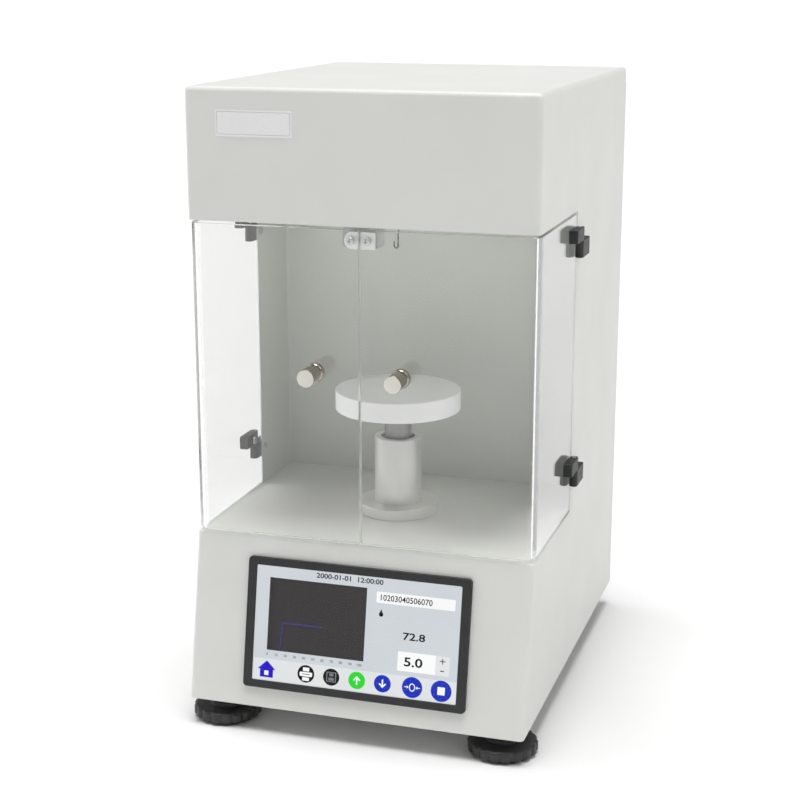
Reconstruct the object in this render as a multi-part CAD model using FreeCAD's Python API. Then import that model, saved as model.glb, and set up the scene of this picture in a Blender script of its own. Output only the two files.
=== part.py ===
import FreeCAD, Part
import math
import os

# Surface tensiometer for a lab bench. Millimetres, +Z up, +X to the operator's right, -Y towards
# the operator. The origin lies on the bench, under the middle of the object's outline.

# ---- Casing ----
body_width = 250.0
body_depth = 310.0  # head's front face to the rear panel
body_height = 440.0  # without the feet
base_height = 122.0  # underside to chamber floor
chamber_height = 226.5  # chamber floor to ceiling
chamber_depth = 184.0  # head's front face to the chamber's back wall
opening_depth = 122.0  # how far the side openings run back
sheet = 1.5
liner_sheet = 1.2
corner_radius = 3.5  # outer bend radius of the casing
floor_edge_radius = 2.4  # outer bend between the sloped panel and the chamber floor
trim_radius = 1.0  # eased outer edges of the flat side panels
fold = 12.0  # depth of the returns folded back from the front panels and the cover
front_top_recess = 1.5  # the sloped panel's top edge lies behind the head's face
front_bottom_reach = 22.0  # and its bottom edge lies in front of it
flange_width = 14.0

# ---- Feet ----
foot_height = 20.0
foot_x = 105.0
foot_setback = 2.0  # front feet, behind the head's face
foot_wheel_radius = 25.0
foot_wheel_top = 9.5
foot_hub_radius = 12.0
foot_hub_top = 15.5
foot_scallops = 18
foot_scallop_radius = 2.6
foot_pad_radius = 21.0
foot_pad_thickness = 2.0
foot_spigot_radius = 5.0
foot_spigot_height = 3.0
foot_stud_radius = 4.0
foot_stud_spare = 12.0
weld_nut_flats = 13.0
weld_nut_height = 6.5
rear_foot_radius = 13.0
rear_foot_taper = 2.0
rear_foot_inset = 36.0

# ---- Doors ----
door_sheet = 4.0
door_bend_radius = 9.0
door_end_gap = 2.0  # above and below each door
door_seam = 1.0
door_rear_gap = 1.4
knob_x = 31.0
knob_height = 125.0  # above the chamber floor
knob_length = 23.0
knob_radius = 6.3
knob_collar_radius = 6.9
knob_collar_length = 6.0
knob_neck_radius = 5.1
knob_neck_length = 1.4
knob_foot_length = 1.2
knob_edge = 0.7
strike_width = 10.6
strike_height = 11.8
strike_thickness = 1.0
strike_top_gap = 1.5
catch_width = 25.0
catch_depth = 14.0
magnet_radius = 4.0
magnet_length = 5.0
magnet_proud = 0.5
magnet_gap = 0.3

# ---- Door hinges ----
hinge_low_rise = 35.5  # lower hinges' block joints, above the chamber floor
hinge_high_drop = 19.5  # upper hinges' block joints, below the chamber ceiling
hinge_pin_inset = 7.0  # pin axis, in front of the column
hinge_pin_offset = 3.5  # pin axis, outside the side panel
hinge_pin_radius = 1.5
hinge_knuckle_radius = 3.1
hinge_door_block_height = 9.4
hinge_door_block_length = 22.0
hinge_body_block_height = 12.8
hinge_body_block_length = 22.0
hinge_edge = 0.6

# ---- Display ----
bezel_width = 166.0
bezel_height = 95.0
bezel_corner = 3.0
bezel_proud = 3.0
bezel_lip = 1.0
bezel_edge = 0.9
bezel_wall = 2.0
bezel_skirt_depth = 9.0
screen_width = 152.5
screen_height = 83.5
glass_thickness = 1.2
glass_border = 3.5
optical_gap = 0.3
lcd_thickness = 4.5
board_thickness = 1.6
display_board_width = 140.0
display_board_height = 74.0
display_parts_height = 6.0
clamp_width = 16.0
clamp_reach = 7.0
clamp_height = 5.0
clamp_spread = 50.0

# ---- Sample stage ----
stage_setback = 91.5  # behind the head's face
disc_radius = 46.5
disc_thickness = 15.0
disc_top_height = 93.8  # above the chamber floor
disc_edge = 1.0
shaft_radius = 10.0
shaft_bore_radius = 6.0
shaft_spigot = 6.0  # into the disc
shaft_cap = 15.0  # solid part under the disc
shaft_tail = 4.0  # shaft's end, below the chamber floor
column_radius = 17.5
column_bore_radius = 12.5
column_height = 58.0
column_tail = 18.0
column_edge = 1.0
column_flange_radius = 30.0
column_flange_height = 8.0
bush_length = 9.5
bush_recess = 2.5  # bush's top, below the column's top
nut_length = 14.0
key_radius = 2.0
key_height = 20.0  # above the shaft's end
key_slot_depth = 2.5
screw_radius = 4.0
screw_height = 44.0  # above the chamber floor
stage_drop = 18.0
stage_rise = 26.0
motor_width = 42.3
motor_length = 40.0
motor_chamfer = 4.0
motor_boss_radius = 11.0
motor_boss_height = 2.0
bracket_drop = 26.0  # motor's face, below the chamber floor
bracket_sheet = 2.0
bracket_foot = 12.0

# ---- Weighing unit ----
cell_height = 34.0  # beam's underside, above the ceiling plate
cell_length = 80.0
cell_width = 15.0
cell_thickness = 16.0
cell_hole_radius = 5.5
cell_hole_spread = 9.0
cell_slot = 3.0
cell_nose = 8.0  # beam's free end, in front of the hook
cell_block_length = 26.0
cell_block_width = 32.0
hanger_radius = 4.0
hanger_length = 16.0
hanger_slot = 2.4
hanger_pin_radius = 1.0
hanger_pin_rise = 4.0  # pin, above the hanger's end
hook_wire_radius = 0.6
hook_eye_radius = 2.1
hook_bend_radius = 1.5
hook_tip_length = 3.0
hook_drop = 28.5  # hook's bottom, below the chamber ceiling
hook_hole_radius = 7.0

# ---- Label ----
label_width = 55.5
label_height = 17.7
label_thickness = 0.5
label_x = -74.2
label_drop = 24.3  # label's middle, below the top
label_corner = 0.8

# ---- Electrics ----
supply_width = 70.0
supply_length = 110.0
supply_height = 35.0
main_board_width = 100.0
main_board_length = 110.0
main_parts_height = 14.0
standoff_radius = 3.0
standoff_height = 10.0
standoff_inset = 6.0
boards_setback = 140.0
supply_x = -65.0
main_board_x = 60.0
port_height = 40.0  # ports on the rear panel, above the underside
inlet_x = -70.0
inlet_body_width = 27.0
inlet_body_height = 20.0
inlet_flange_width = 50.0
inlet_flange_height = 23.0
inlet_flange = 2.5
inlet_depth = 18.0
inlet_recess_width = 24.0
inlet_recess_height = 16.0
inlet_recess_depth = 14.0
inlet_pin_length = 8.0
inlet_pin_width = 2.0
inlet_pin_height = 4.0
inlet_pin_spread = 7.0
inlet_screw_spread = 20.0
switch_x = -20.0
switch_width = 15.0
switch_height = 21.0
switch_flange = 1.5
switch_depth = 12.0
switch_lip = 2.0
rocker_width = 11.0
rocker_pocket_depth = 9.5
rocker_reach = 7.4
rocker_dish = 1.4
rocker_front = 2.2
rocker_back = 3.0
rocker_tilt = 8.0  # degrees, at rest
rocker_pivot_radius = 1.0
rocker_pivot_depth = 1.0  # inside the rear panel's face
serial_x = 40.0
serial_flange_width = 31.0
serial_flange_height = 12.5
serial_flange = 1.0
serial_shell_width = 17.0
serial_shell_height = 8.5
serial_shell_length = 5.5
serial_depth = 6.0
vent_width = 2.5
vent_length = 36.0
vent_count = 14
vent_pitch = 7.0
vent_columns = (-55.0, 55.0)
vent_top_drop = 60.0  # top slots, below the top

# ---- Fasteners and clearances ----
screw_shank_radius = 1.5
screw_head_radius = 2.8
screw_head_height = 1.8
screw_grip = 6.0
screw_cross = 0.7
running_gap = 0.05
fit_gap = 0.02
loose_gap = 0.2

# ---- Levels and planes that follow from the sizes above ----
V = FreeCAD.Vector
ORIGIN = V(0, 0, 0)
X_AXIS = V(1, 0, 0)
Y_AXIS = V(0, 1, 0)
Z_AXIS = V(0, 0, 1)

half_width = body_width / 2
inner_half = half_width - sheet
front_reach = max(knob_length, foot_wheel_radius - foot_setback, front_bottom_reach)
rear_reach = body_depth + max(serial_flange + serial_shell_length, inlet_flange, screw_head_height)
face_y = (front_reach - rear_reach) / 2
rear_y = face_y + body_depth
opening_y = face_y + opening_depth
chamber_y = face_y + chamber_depth
stage_y = face_y + stage_setback
base_z = foot_height
floor_z = base_z + base_height
ceiling_z = floor_z + chamber_height
top_z = base_z + body_height
cover_z = top_z - fold

slope_run = front_bottom_reach + front_top_recess
slope = math.atan2(slope_run, base_height)
fold_y = fold / math.cos(slope)
sheet_y = sheet / math.cos(slope)

hinge_joints = (floor_z + hinge_low_rise, ceiling_z - hinge_high_drop)
door_low_z = floor_z + door_end_gap
door_high_z = ceiling_z - door_end_gap
door_inner_y = face_y + door_sheet
door_inner_x = half_width - door_sheet
pin_x = half_width + hinge_pin_offset
pin_y = opening_y - hinge_pin_inset
strike_x = door_seam / 2 + strike_width / 2
strike_z = door_high_z - strike_top_gap - strike_height / 2
strike_back_y = door_inner_y + strike_thickness

disc_low_z = floor_z + disc_top_height - disc_thickness
shaft_low_z = floor_z - shaft_tail
column_top_z = floor_z + column_height
key_z = shaft_low_z + key_height
motor_top_z = floor_z - bracket_drop
cell_low_z = ceiling_z + sheet + cell_height
hanger_low_z = cell_low_z - hanger_length
hanger_pin_z = hanger_low_z + hanger_pin_rise
hook_low_z = ceiling_z - hook_drop
port_z = base_z + port_height
floor_plate_y = face_y + front_top_recess + fold_y


# ---- Helpers ----
def block(x0, x1, y0, y1, z0, z1):
    return Part.makeBox(x1 - x0, y1 - y0, z1 - z0, V(x0, y0, z0))


def rod(radius, length, base, axis=Z_AXIS):
    return Part.makeCylinder(radius, length, base, axis)


def tube(outer, inner, length, base, axis=Z_AXIS):
    return rod(outer, length, base, axis).cut(rod(inner, length, base, axis))


def mirrored(shape):
    return shape.mirror(ORIGIN, X_AXIS)


def profile_along_x(points, x0, x1):
    """Extrudes a closed outline of (y, z) points from x0 to x1."""
    corners = [V(x0, y, z) for y, z in points]
    return Part.Face(Part.makePolygon(corners + corners[:1])).extrude(V(x1 - x0, 0, 0))


def turned(points, base, axis):
    """Revolves a closed outline of (radius, height) points about an axis that starts at base."""
    corners = [V(r, 0, h) for r, h in points]
    solid = Part.Face(Part.makePolygon(corners + corners[:1])).revolve(ORIGIN, Z_AXIS, 360)
    solid.Placement = FreeCAD.Placement(base, FreeCAD.Rotation(Z_AXIS, axis))
    return solid


def edges_along(shape, axis, wanted):
    """Straight edges that run along an axis and whose midpoint passes the test."""
    found = []
    for edge in shape.Edges:
        if isinstance(edge.Curve, Part.Line) and abs(edge.Curve.Direction.dot(axis)) > 0.999:
            if wanted(edge.CenterOfMass):
                found.append(edge)
    return found


def eased(shape, radius, axis, wanted=lambda point: True):
    return shape.makeFillet(radius, edges_along(shape, axis, wanted))


def rounded_plate(width, height, radius, z0, z1):
    plate = block(-width / 2, width / 2, -height / 2, height / 2, z0, z1)
    return eased(plate, radius, Z_AXIS)


def near(a, b):
    return abs(a - b) < 0.01


def pan_screw(seat, axis, grip=screw_grip):
    """A pan-head screw whose head sits on the seat point and whose shank runs back against the axis."""
    head = turned(
        [
            (0, 0),
            (screw_head_radius, 0),
            (screw_head_radius, screw_head_height * 0.45),
            (screw_head_radius * 0.78, screw_head_height * 0.88),
            (screw_head_radius * 0.4, screw_head_height),
            (0, screw_head_height),
        ],
        ORIGIN,
        Z_AXIS,
    )
    arm = screw_head_radius * 0.6
    low = screw_head_height * 0.5
    half = screw_cross / 2
    cross = block(-arm, arm, -half, half, low, screw_head_height).fuse(
        block(-half, half, -arm, arm, low, screw_head_height)
    )
    screw = head.cut(cross).fuse(rod(screw_shank_radius, grip, V(0, 0, -grip)))
    screw.Placement = FreeCAD.Placement(seat, FreeCAD.Rotation(Z_AXIS, axis))
    return screw


def screw_hole(seat, axis, depth=screw_grip):
    return rod(screw_shank_radius + running_gap, depth + loose_gap, seat, axis.negative())


def through_hole(start, axis, length):
    return rod(screw_shank_radius + running_gap, length, start, axis)


def save(name, *shapes):
    solids = [solid for shape in shapes for solid in shape.Solids]
    whole = solids[0] if len(solids) == 1 else Part.makeCompound(solids)
    whole.exportStep("parts/" + name + ".step")


# ---- Casing ----
def slope_y(z):
    """Outer face of the sloped front panel at a height."""
    return face_y + front_top_recess - (floor_z - z) * slope_run / base_height


def on_panel(shape):
    """Moves a shape from the sloped panel's own frame (X across, Y up the slope, Z out) to its place."""
    middle_z = (base_z + floor_z) / 2
    tilt = FreeCAD.Rotation(X_AXIS, 90 - math.degrees(slope))
    moved = shape.copy()
    moved.Placement = FreeCAD.Placement(V(0, slope_y(middle_z), middle_z), tilt).multiply(shape.Placement)
    return moved


def front_wedge(depth, back, side_gap, top_gap, bottom_gap=0):
    """The sloped panel's outline between two depths behind its face, less a gap at its edges."""
    low = base_z - bottom_gap
    high = floor_z - top_gap
    outline = [
        (slope_y(low) + depth, low),
        (slope_y(high) + depth, high),
        (slope_y(high) + back, high),
        (slope_y(low) + back, low),
    ]
    return profile_along_x(outline, -half_width + side_gap, half_width - side_gap)


def base_front_panel():
    incline = V(0, math.sin(slope), math.cos(slope))

    def at_front(point):
        return abs(point.y - slope_y(point.z)) < fold_y / 2

    outer = front_wedge(0, fold_y, 0, 0)
    outer = outer.makeFillet(corner_radius, edges_along(outer, incline, at_front))
    outer = eased(outer, floor_edge_radius, X_AXIS, lambda p: near(p.z, floor_z) and at_front(p))
    inner = front_wedge(sheet_y, fold_y * 2, sheet, sheet, sheet)
    inner = inner.makeFillet(
        corner_radius - sheet,
        edges_along(inner, incline, lambda p: abs(p.y - slope_y(p.z) - sheet_y) < sheet),
    )
    cut_out = rounded_plate(
        bezel_skirt_width + loose_gap, bezel_skirt_height + loose_gap, bezel_wall, -sheet * 2, sheet
    )
    return outer.cut(inner).cut(on_panel(cut_out))


def head_front_panel():
    outer = block(-half_width, half_width, face_y, face_y + fold, ceiling_z, cover_z)
    outer = eased(outer, corner_radius, Z_AXIS, lambda p: near(p.y, face_y))
    inner = block(-inner_half, inner_half, face_y + sheet, face_y + 2 * fold, ceiling_z - sheet, top_z)
    inner = eased(inner, corner_radius - sheet, Z_AXIS, lambda p: near(p.y, face_y + sheet))
    return outer.cut(inner)


def top_cover():
    outer = block(-half_width, half_width, face_y, rear_y, cover_z, top_z)
    outer = eased(outer, corner_radius, Z_AXIS)
    rim = [edge for edge in outer.Edges if near(edge.BoundBox.ZMin, top_z)]
    outer = outer.makeFillet(corner_radius, rim)
    inner = block(-inner_half, inner_half, face_y + sheet, rear_y - sheet, cover_z - sheet, top_z - sheet)
    inner = eased(inner, corner_radius - sheet, Z_AXIS)
    return outer.cut(inner)


def side_panel():
    """Right side panel: a C around the door opening, with flanges for the rear panel and the base plate."""
    outline = [
        (slope_y(base_z) + fold_y, base_z),
        (slope_y(floor_z) + fold_y, floor_z),
        (opening_y, floor_z),
        (opening_y, ceiling_z),
        (face_y + fold, ceiling_z),
        (face_y + fold, cover_z),
        (rear_y, cover_z),
        (rear_y, base_z),
    ]
    panel = profile_along_x(outline, inner_half, half_width)
    panel = panel.makeFillet(
        trim_radius,
        [
            edge
            for edge in panel.Edges
            if near(edge.BoundBox.XMin, half_width)
            and (
                (near(edge.BoundBox.ZMin, floor_z) and near(edge.BoundBox.ZMax, floor_z))
                or (near(edge.BoundBox.YMin, rear_y) and edge.BoundBox.ZLength > sheet)
            )
        ],
    )
    flange_x = half_width - flange_width
    rear_flange = block(
        flange_x, inner_half, rear_y - 2 * sheet, rear_y - sheet, base_z + 2 * sheet, cover_z
    )
    base_flange = block(
        flange_x, inner_half, opening_y, rear_y - sheet, base_z + sheet, base_z + 2 * sheet
    )
    return panel.fuse([rear_flange, base_flange]).removeSplitter()


def base_plate():
    outline = [
        (slope_y(base_z) + sheet_y, base_z),
        (slope_y(base_z + sheet) + sheet_y, base_z + sheet),
        (rear_y - sheet, base_z + sheet),
        (rear_y - sheet, base_z),
    ]
    plate = profile_along_x(outline, -inner_half, inner_half)
    corner_cut = corner_radius - sheet
    incline = V(0, math.sin(slope), math.cos(slope))
    plate = plate.makeChamfer(corner_cut, edges_along(plate, incline, lambda p: p.y < face_y))
    for side in (-1, 1):
        hole_radius = foot_stud_radius + 2 * loose_gap
        plate = plate.cut(rod(hole_radius, sheet, V(side * foot_x, face_y + foot_setback, base_z)))
    return plate


def rear_panel():
    plate = block(-inner_half, inner_half, rear_y - sheet, rear_y, base_z + sheet, cover_z)
    cuts = [
        port_block(inlet_x, inlet_body_width + loose_gap, inlet_body_height + loose_gap, -sheet, 0),
        port_block(
            switch_x,
            switch_width - switch_lip + loose_gap,
            switch_height - switch_lip + loose_gap,
            -sheet,
            0,
        ),
        port_block(serial_x, serial_shell_width + loose_gap, serial_shell_height + loose_gap, -sheet, 0),
    ]
    for column_x in vent_columns:
        for row in range(vent_count):
            z = top_z - vent_top_drop - row * vent_pitch
            cuts.append(
                block(
                    column_x - vent_length / 2,
                    column_x + vent_length / 2,
                    rear_y - sheet,
                    rear_y,
                    z - vent_width / 2,
                    z + vent_width / 2,
                )
            )
    return plate.cut(cuts)


def port_block(x, width, height, y0, y1):
    """A block on the rear panel, centred on a port; y0 and y1 count outwards from the panel's face."""
    half = width / 2
    rise = height / 2
    return block(x - half, x + half, rear_y + y0, rear_y + y1, port_z - rise, port_z + rise)


def chamber_floor():
    plate = block(-inner_half, inner_half, floor_plate_y, chamber_y + liner_sheet, floor_z - sheet, floor_z)
    return plate.cut(rod(column_radius + running_gap, sheet, V(0, stage_y, floor_z - sheet)))


def chamber_ceiling():
    plate = block(
        -inner_half, inner_half, face_y + sheet, chamber_y + liner_sheet, ceiling_z, ceiling_z + sheet
    )
    plate = eased(plate, corner_radius - sheet, Z_AXIS, lambda p: p.y < opening_y)
    return plate.cut(rod(hook_hole_radius, sheet, V(0, stage_y, ceiling_z)))


def chamber_liner():
    outer = block(-inner_half, inner_half, opening_y, chamber_y + liner_sheet, floor_z, ceiling_z)
    inner_x = inner_half - liner_sheet
    inner = block(-inner_x, inner_x, opening_y - liner_sheet, chamber_y, floor_z, ceiling_z)
    inner = eased(inner, corner_radius - sheet, Z_AXIS, lambda p: near(p.y, chamber_y))
    return outer.cut(inner)


def label_plate():
    plate = rounded_plate(label_width, label_height, label_corner, 0, label_thickness)
    plate.Placement = FreeCAD.Placement(
        V(label_x, face_y, top_z - label_drop), FreeCAD.Rotation(X_AXIS, 90)
    )
    return plate


# ---- Doors ----
def door():
    """Right door: one clear sheet bent round the front corner."""
    outer = block(door_seam / 2, half_width, face_y, opening_y - door_rear_gap, door_low_z, door_high_z)
    outer = eased(outer, door_bend_radius, Z_AXIS, lambda p: near(p.x, half_width) and near(p.y, face_y))
    inner = block(-1, door_inner_x, door_inner_y, opening_y, door_low_z, door_high_z)
    inner = eased(
        inner,
        door_bend_radius - door_sheet,
        Z_AXIS,
        lambda p: near(p.x, door_inner_x) and near(p.y, door_inner_y),
    )
    holes = [
        through_hole(V(knob_x, face_y, knob_z), Y_AXIS, door_sheet),
        through_hole(V(strike_x, face_y, strike_z), Y_AXIS, door_sheet),
    ]
    for joint_z in hinge_joints:
        start = V(door_inner_x, hinge_screw_y, joint_z + hinge_door_block_height / 2)
        holes.append(through_hole(start, X_AXIS, door_sheet))
    return outer.cut(inner).cut(holes)


def hinge_door_blocks():
    """Right door's blocks: each is seated on the door and turns round its pin."""
    blocks = []
    thickness = hinge_pin_offset + hinge_knuckle_radius
    for low in hinge_joints:
        high = low + hinge_door_block_height
        body = block(half_width, half_width + thickness, pin_y - hinge_door_block_length, pin_y, low, high)
        body = body.makeFillet(
            hinge_edge,
            edges_along(body, Y_AXIS, lambda p: p.x > pin_x)
            + edges_along(body, Z_AXIS, lambda p: p.x > pin_x and p.y < pin_y - hinge_knuckle_radius),
        )
        body = body.cut(block(half_width, pin_x, pin_y - hinge_knuckle_radius, pin_y, low, high))
        body = body.fuse(
            block(
                pin_x - hinge_knuckle_radius,
                pin_x,
                pin_y - hinge_knuckle_radius,
                pin_y,
                low,
                high,
            )
        )
        body = body.fuse(rod(hinge_knuckle_radius, high - low, V(pin_x, pin_y, low)))
        bore = rod(hinge_pin_radius + running_gap, high - low, V(pin_x, pin_y, low))
        hole = through_hole(V(half_width, hinge_screw_y, (low + high) / 2), X_AXIS, screw_grip)
        blocks.append(body.cut([bore, hole]).removeSplitter())
    return Part.makeCompound(blocks)


def hinge_body_blocks():
    """Blocks on the right side panel: each carries a pin in front of the column, clear of the door."""
    blocks = []
    for joint_z in hinge_joints:
        high = joint_z - loose_gap
        low = high - hinge_body_block_height
        outer_x = pin_x + hinge_knuckle_radius
        body = block(half_width, outer_x, opening_y, pin_y + hinge_body_block_length, low, high)
        body = body.makeFillet(
            hinge_edge,
            edges_along(body, Y_AXIS, lambda p: p.x > pin_x)
            + edges_along(body, Z_AXIS, lambda p: p.x > pin_x and p.y > opening_y + 1),
        )
        neck = block(pin_x - hinge_knuckle_radius, outer_x, pin_y, opening_y, low, high)
        knuckle = rod(hinge_knuckle_radius, high - low, V(pin_x, pin_y, low))
        bore = rod(hinge_pin_radius + fit_gap, high - low, V(pin_x, pin_y, low))
        blocks.append(body.fuse([neck, knuckle]).cut(bore).removeSplitter())
    return with_screw_holes(Part.makeCompound(blocks), hinge_screw_places(1), X_AXIS.negative())


def hinge_pins():
    pins = []
    for joint_z in hinge_joints:
        low = joint_z - loose_gap - hinge_body_block_height
        length = hinge_body_block_height + loose_gap + hinge_door_block_height
        pins.append(rod(hinge_pin_radius, length, V(pin_x, pin_y, low)))
    return Part.makeCompound(pins)


def knob():
    """Right door's knob: a plain front cylinder, a neck and a rounded collar, turned in one piece."""
    neck_start = knob_foot_length + knob_collar_length
    neck_end = neck_start + knob_neck_length
    round_off = knob_collar_length / 4
    outline = [
        (0, 0),
        (knob_neck_radius, 0),
        (knob_neck_radius, knob_foot_length),
        (knob_collar_radius - round_off, knob_foot_length),
        (knob_collar_radius - round_off / 3, knob_foot_length + round_off / 3),
        (knob_collar_radius, knob_foot_length + round_off),
        (knob_collar_radius, neck_start - round_off),
        (knob_collar_radius - round_off / 3, neck_start - round_off / 3),
        (knob_collar_radius - round_off, neck_start),
        (knob_neck_radius, neck_start),
        (knob_neck_radius, neck_end),
        (knob_radius - knob_edge, neck_end),
        (knob_radius, neck_end + knob_edge),
        (knob_radius, knob_length - knob_edge),
        (knob_radius - knob_edge, knob_length),
        (0, knob_length),
    ]
    body = turned(outline, V(knob_x, face_y, knob_z), Y_AXIS.negative())
    return body.cut(through_hole(V(knob_x, face_y, knob_z), Y_AXIS.negative(), screw_grip))


def strike_plate(rounded):
    """Plate on the right door's inner face; one of the pair has a rounded outer end."""
    low_x = strike_x - strike_width / 2
    plate = block(
        low_x,
        low_x + strike_width,
        door_inner_y,
        strike_back_y,
        strike_z - strike_height / 2,
        strike_z + strike_height / 2,
    )
    if rounded:
        end_radius = strike_height / 2 - loose_gap
        plate = eased(plate, end_radius, Y_AXIS, lambda p: p.x > strike_x)
    return plate.cut(through_hole(V(strike_x, door_inner_y, strike_z), Y_AXIS, strike_thickness))


def door_screws():
    """Right door's screws: through the blocks, the knob and the strike plate."""
    grip = door_sheet + screw_grip - 2 * loose_gap
    screws = [
        pan_screw(V(knob_x, door_inner_y, knob_z), Y_AXIS, grip),
        pan_screw(V(strike_x, face_y, strike_z), Y_AXIS.negative(), door_sheet + strike_thickness),
    ]
    for joint_z in hinge_joints:
        seat = V(door_inner_x, hinge_screw_y, joint_z + hinge_door_block_height / 2)
        screws.append(pan_screw(seat, X_AXIS.negative(), grip))
    return Part.makeCompound(screws)


def magnet_catch():
    low_z = strike_z - strike_height / 2 + 1
    front_y = strike_back_y + magnet_gap + magnet_proud
    body = block(-catch_width / 2, catch_width / 2, front_y, front_y + catch_depth, low_z, ceiling_z)
    body = eased(body, hinge_edge, X_AXIS, lambda p: near(p.z, low_z))
    depth = magnet_length - magnet_proud
    pockets = [
        rod(magnet_radius + fit_gap, depth, V(side * strike_x, front_y, strike_z), Y_AXIS) for side in (-1, 1)
    ]
    return body.cut(pockets)


def catch_magnets():
    start_y = strike_back_y + magnet_gap
    return Part.makeCompound(
        [rod(magnet_radius, magnet_length, V(side * strike_x, start_y, strike_z), Y_AXIS) for side in (-1, 1)]
    )


# ---- Display ----
def display_bezel():
    frame = rounded_plate(bezel_width, bezel_height, bezel_corner, 0, bezel_proud)
    rim = [edge for edge in frame.Edges if near(edge.BoundBox.ZMin, bezel_proud)]
    frame = frame.makeFillet(bezel_edge, rim)
    skirt = rounded_plate(bezel_skirt_width, bezel_skirt_height, bezel_wall, -bezel_skirt_depth, 0)
    pocket = rounded_plate(
        glass_width + 2 * loose_gap,
        glass_height + 2 * loose_gap,
        bezel_wall / 2,
        -bezel_skirt_depth,
        bezel_proud - bezel_lip,
    )
    window = rounded_plate(screen_width, screen_height, bezel_wall / 2, 0, bezel_proud)
    return on_panel(frame.fuse(skirt).cut([pocket, window]))


def screen_layer(back, thickness):
    return on_panel(rounded_plate(glass_width, glass_height, bezel_wall / 2, back, back + thickness))


def display_board():
    back = lcd_back - board_thickness
    board = block(
        -display_board_width / 2,
        display_board_width / 2,
        -display_board_height / 2,
        display_board_height / 2,
        back,
        lcd_back,
    )
    strip = display_board_height / 8
    third = display_board_width / 3
    socket = block(-third / 2, third / 2, strip, 2 * strip, back - display_parts_height, back)
    processor = block(-third, -third / 2, -2 * strip, 0, back - display_parts_height / 3, back)
    return on_panel(board.fuse([socket, processor]))


def display_clamps():
    clamps = []
    for side in (-1, 1):
        for x in (-clamp_spread, clamp_spread):
            start = side * bezel_skirt_height / 2
            end = start + side * clamp_reach
            clamps.append(
                on_panel(
                    block(
                        x - clamp_width / 2,
                        x + clamp_width / 2,
                        min(start, end),
                        max(start, end),
                        -sheet - clamp_height,
                        -sheet,
                    )
                )
            )
    return Part.makeCompound(clamps)


# ---- Sample stage ----
def stage_disc():
    disc = rod(disc_radius, disc_thickness, V(0, stage_y, disc_low_z))
    disc = disc.makeFillet(disc_edge, [e for e in disc.Edges if isinstance(e.Curve, Part.Circle)])
    return disc.cut(rod(shaft_radius + fit_gap, shaft_spigot, V(0, stage_y, disc_low_z)))


def stage_shaft():
    shaft = rod(shaft_radius, disc_low_z + shaft_spigot - shaft_low_z, V(0, stage_y, shaft_low_z))
    bore = rod(shaft_bore_radius, disc_low_z - shaft_cap - shaft_low_z, V(0, stage_y, shaft_low_z))
    key_hole = rod(key_radius + fit_gap, shaft_radius, V(0, stage_y, key_z), Y_AXIS)
    return shaft.cut([bore, key_hole])


def lift_nut():
    return tube(
        shaft_bore_radius - fit_gap, screw_radius + running_gap, nut_length, V(0, stage_y, shaft_low_z)
    )


def shaft_key():
    start = shaft_bore_radius + loose_gap
    end = column_bore_radius + key_slot_depth - loose_gap
    return rod(key_radius, end - start, V(0, stage_y + start, key_z), Y_AXIS)


def stage_column():
    low_z = floor_z - column_tail
    length = column_tail + column_height
    column = rod(column_radius, length, V(0, stage_y, low_z))
    column = column.makeChamfer(column_edge, [e for e in column.Edges if near(e.BoundBox.ZMin, column_top_z)])
    bore = rod(column_bore_radius, length, V(0, stage_y, low_z))
    slot = block(
        -key_radius - running_gap,
        key_radius + running_gap,
        stage_y,
        stage_y + column_bore_radius + key_slot_depth,
        key_z - stage_drop - key_radius - loose_gap,
        key_z + stage_rise + key_radius + loose_gap,
    )
    return column.cut([bore, slot])


def guide_bush():
    return tube(
        column_bore_radius - fit_gap,
        shaft_radius + running_gap,
        bush_length,
        V(0, stage_y, column_top_z - bush_recess - bush_length),
    )


def column_flange():
    flange = rod(column_flange_radius, column_flange_height, V(0, stage_y, floor_z))
    top = floor_z + column_flange_height
    flange = flange.makeChamfer(column_edge, [e for e in flange.Edges if near(e.BoundBox.ZMin, top)])
    flange = flange.cut(rod(column_radius + fit_gap, column_flange_height, V(0, stage_y, floor_z)))
    return flange.cut([screw_hole(V(x, y, flange_seat_z), Z_AXIS.negative()) for x, y in flange_screw_places])


def lead_screw():
    low_z = motor_top_z - motor_length - screw_radius
    return rod(screw_radius, floor_z + screw_height - low_z, V(0, stage_y, low_z))


def stepper_motor():
    half = motor_width / 2
    body = block(-half, half, stage_y - half, stage_y + half, motor_top_z - motor_length, motor_top_z)
    body = body.makeChamfer(motor_chamfer, edges_along(body, Z_AXIS, lambda point: True))
    body = body.fuse(rod(motor_boss_radius, motor_boss_height, V(0, stage_y, motor_top_z)))
    bore_z = motor_top_z - motor_length
    bore = rod(screw_radius + 2 * running_gap, motor_length + motor_boss_height, V(0, stage_y, bore_z))
    holes = [screw_hole(V(x, y, motor_top_z + bracket_sheet), Z_AXIS) for x, y in motor_screw_places]
    return body.cut([bore] + holes)


def motor_bracket():
    """A hat of sheet: it hangs from the chamber floor on two feet and holds the motor's face."""
    half = motor_width / 2
    leg_x = half + bracket_sheet
    under = floor_z - sheet
    parts = [block(-leg_x, leg_x, stage_y - half, stage_y + half, motor_top_z, motor_top_z + bracket_sheet)]
    for side in (-1, 1):
        leg = block(half, leg_x, stage_y - half, stage_y + half, motor_top_z, under)
        foot = block(half, leg_x + bracket_foot, stage_y - half, stage_y + half, under - bracket_sheet, under)
        parts += [leg, foot] if side > 0 else [mirrored(leg), mirrored(foot)]
    hat = parts[0].fuse(parts[1:]).removeSplitter()
    cuts = [rod(motor_boss_radius + running_gap, bracket_sheet, V(0, stage_y, motor_top_z))]
    cuts += [screw_hole(V(x, y, motor_top_z + bracket_sheet), Z_AXIS) for x, y in motor_screw_places]
    return hat.cut(cuts)


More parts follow.
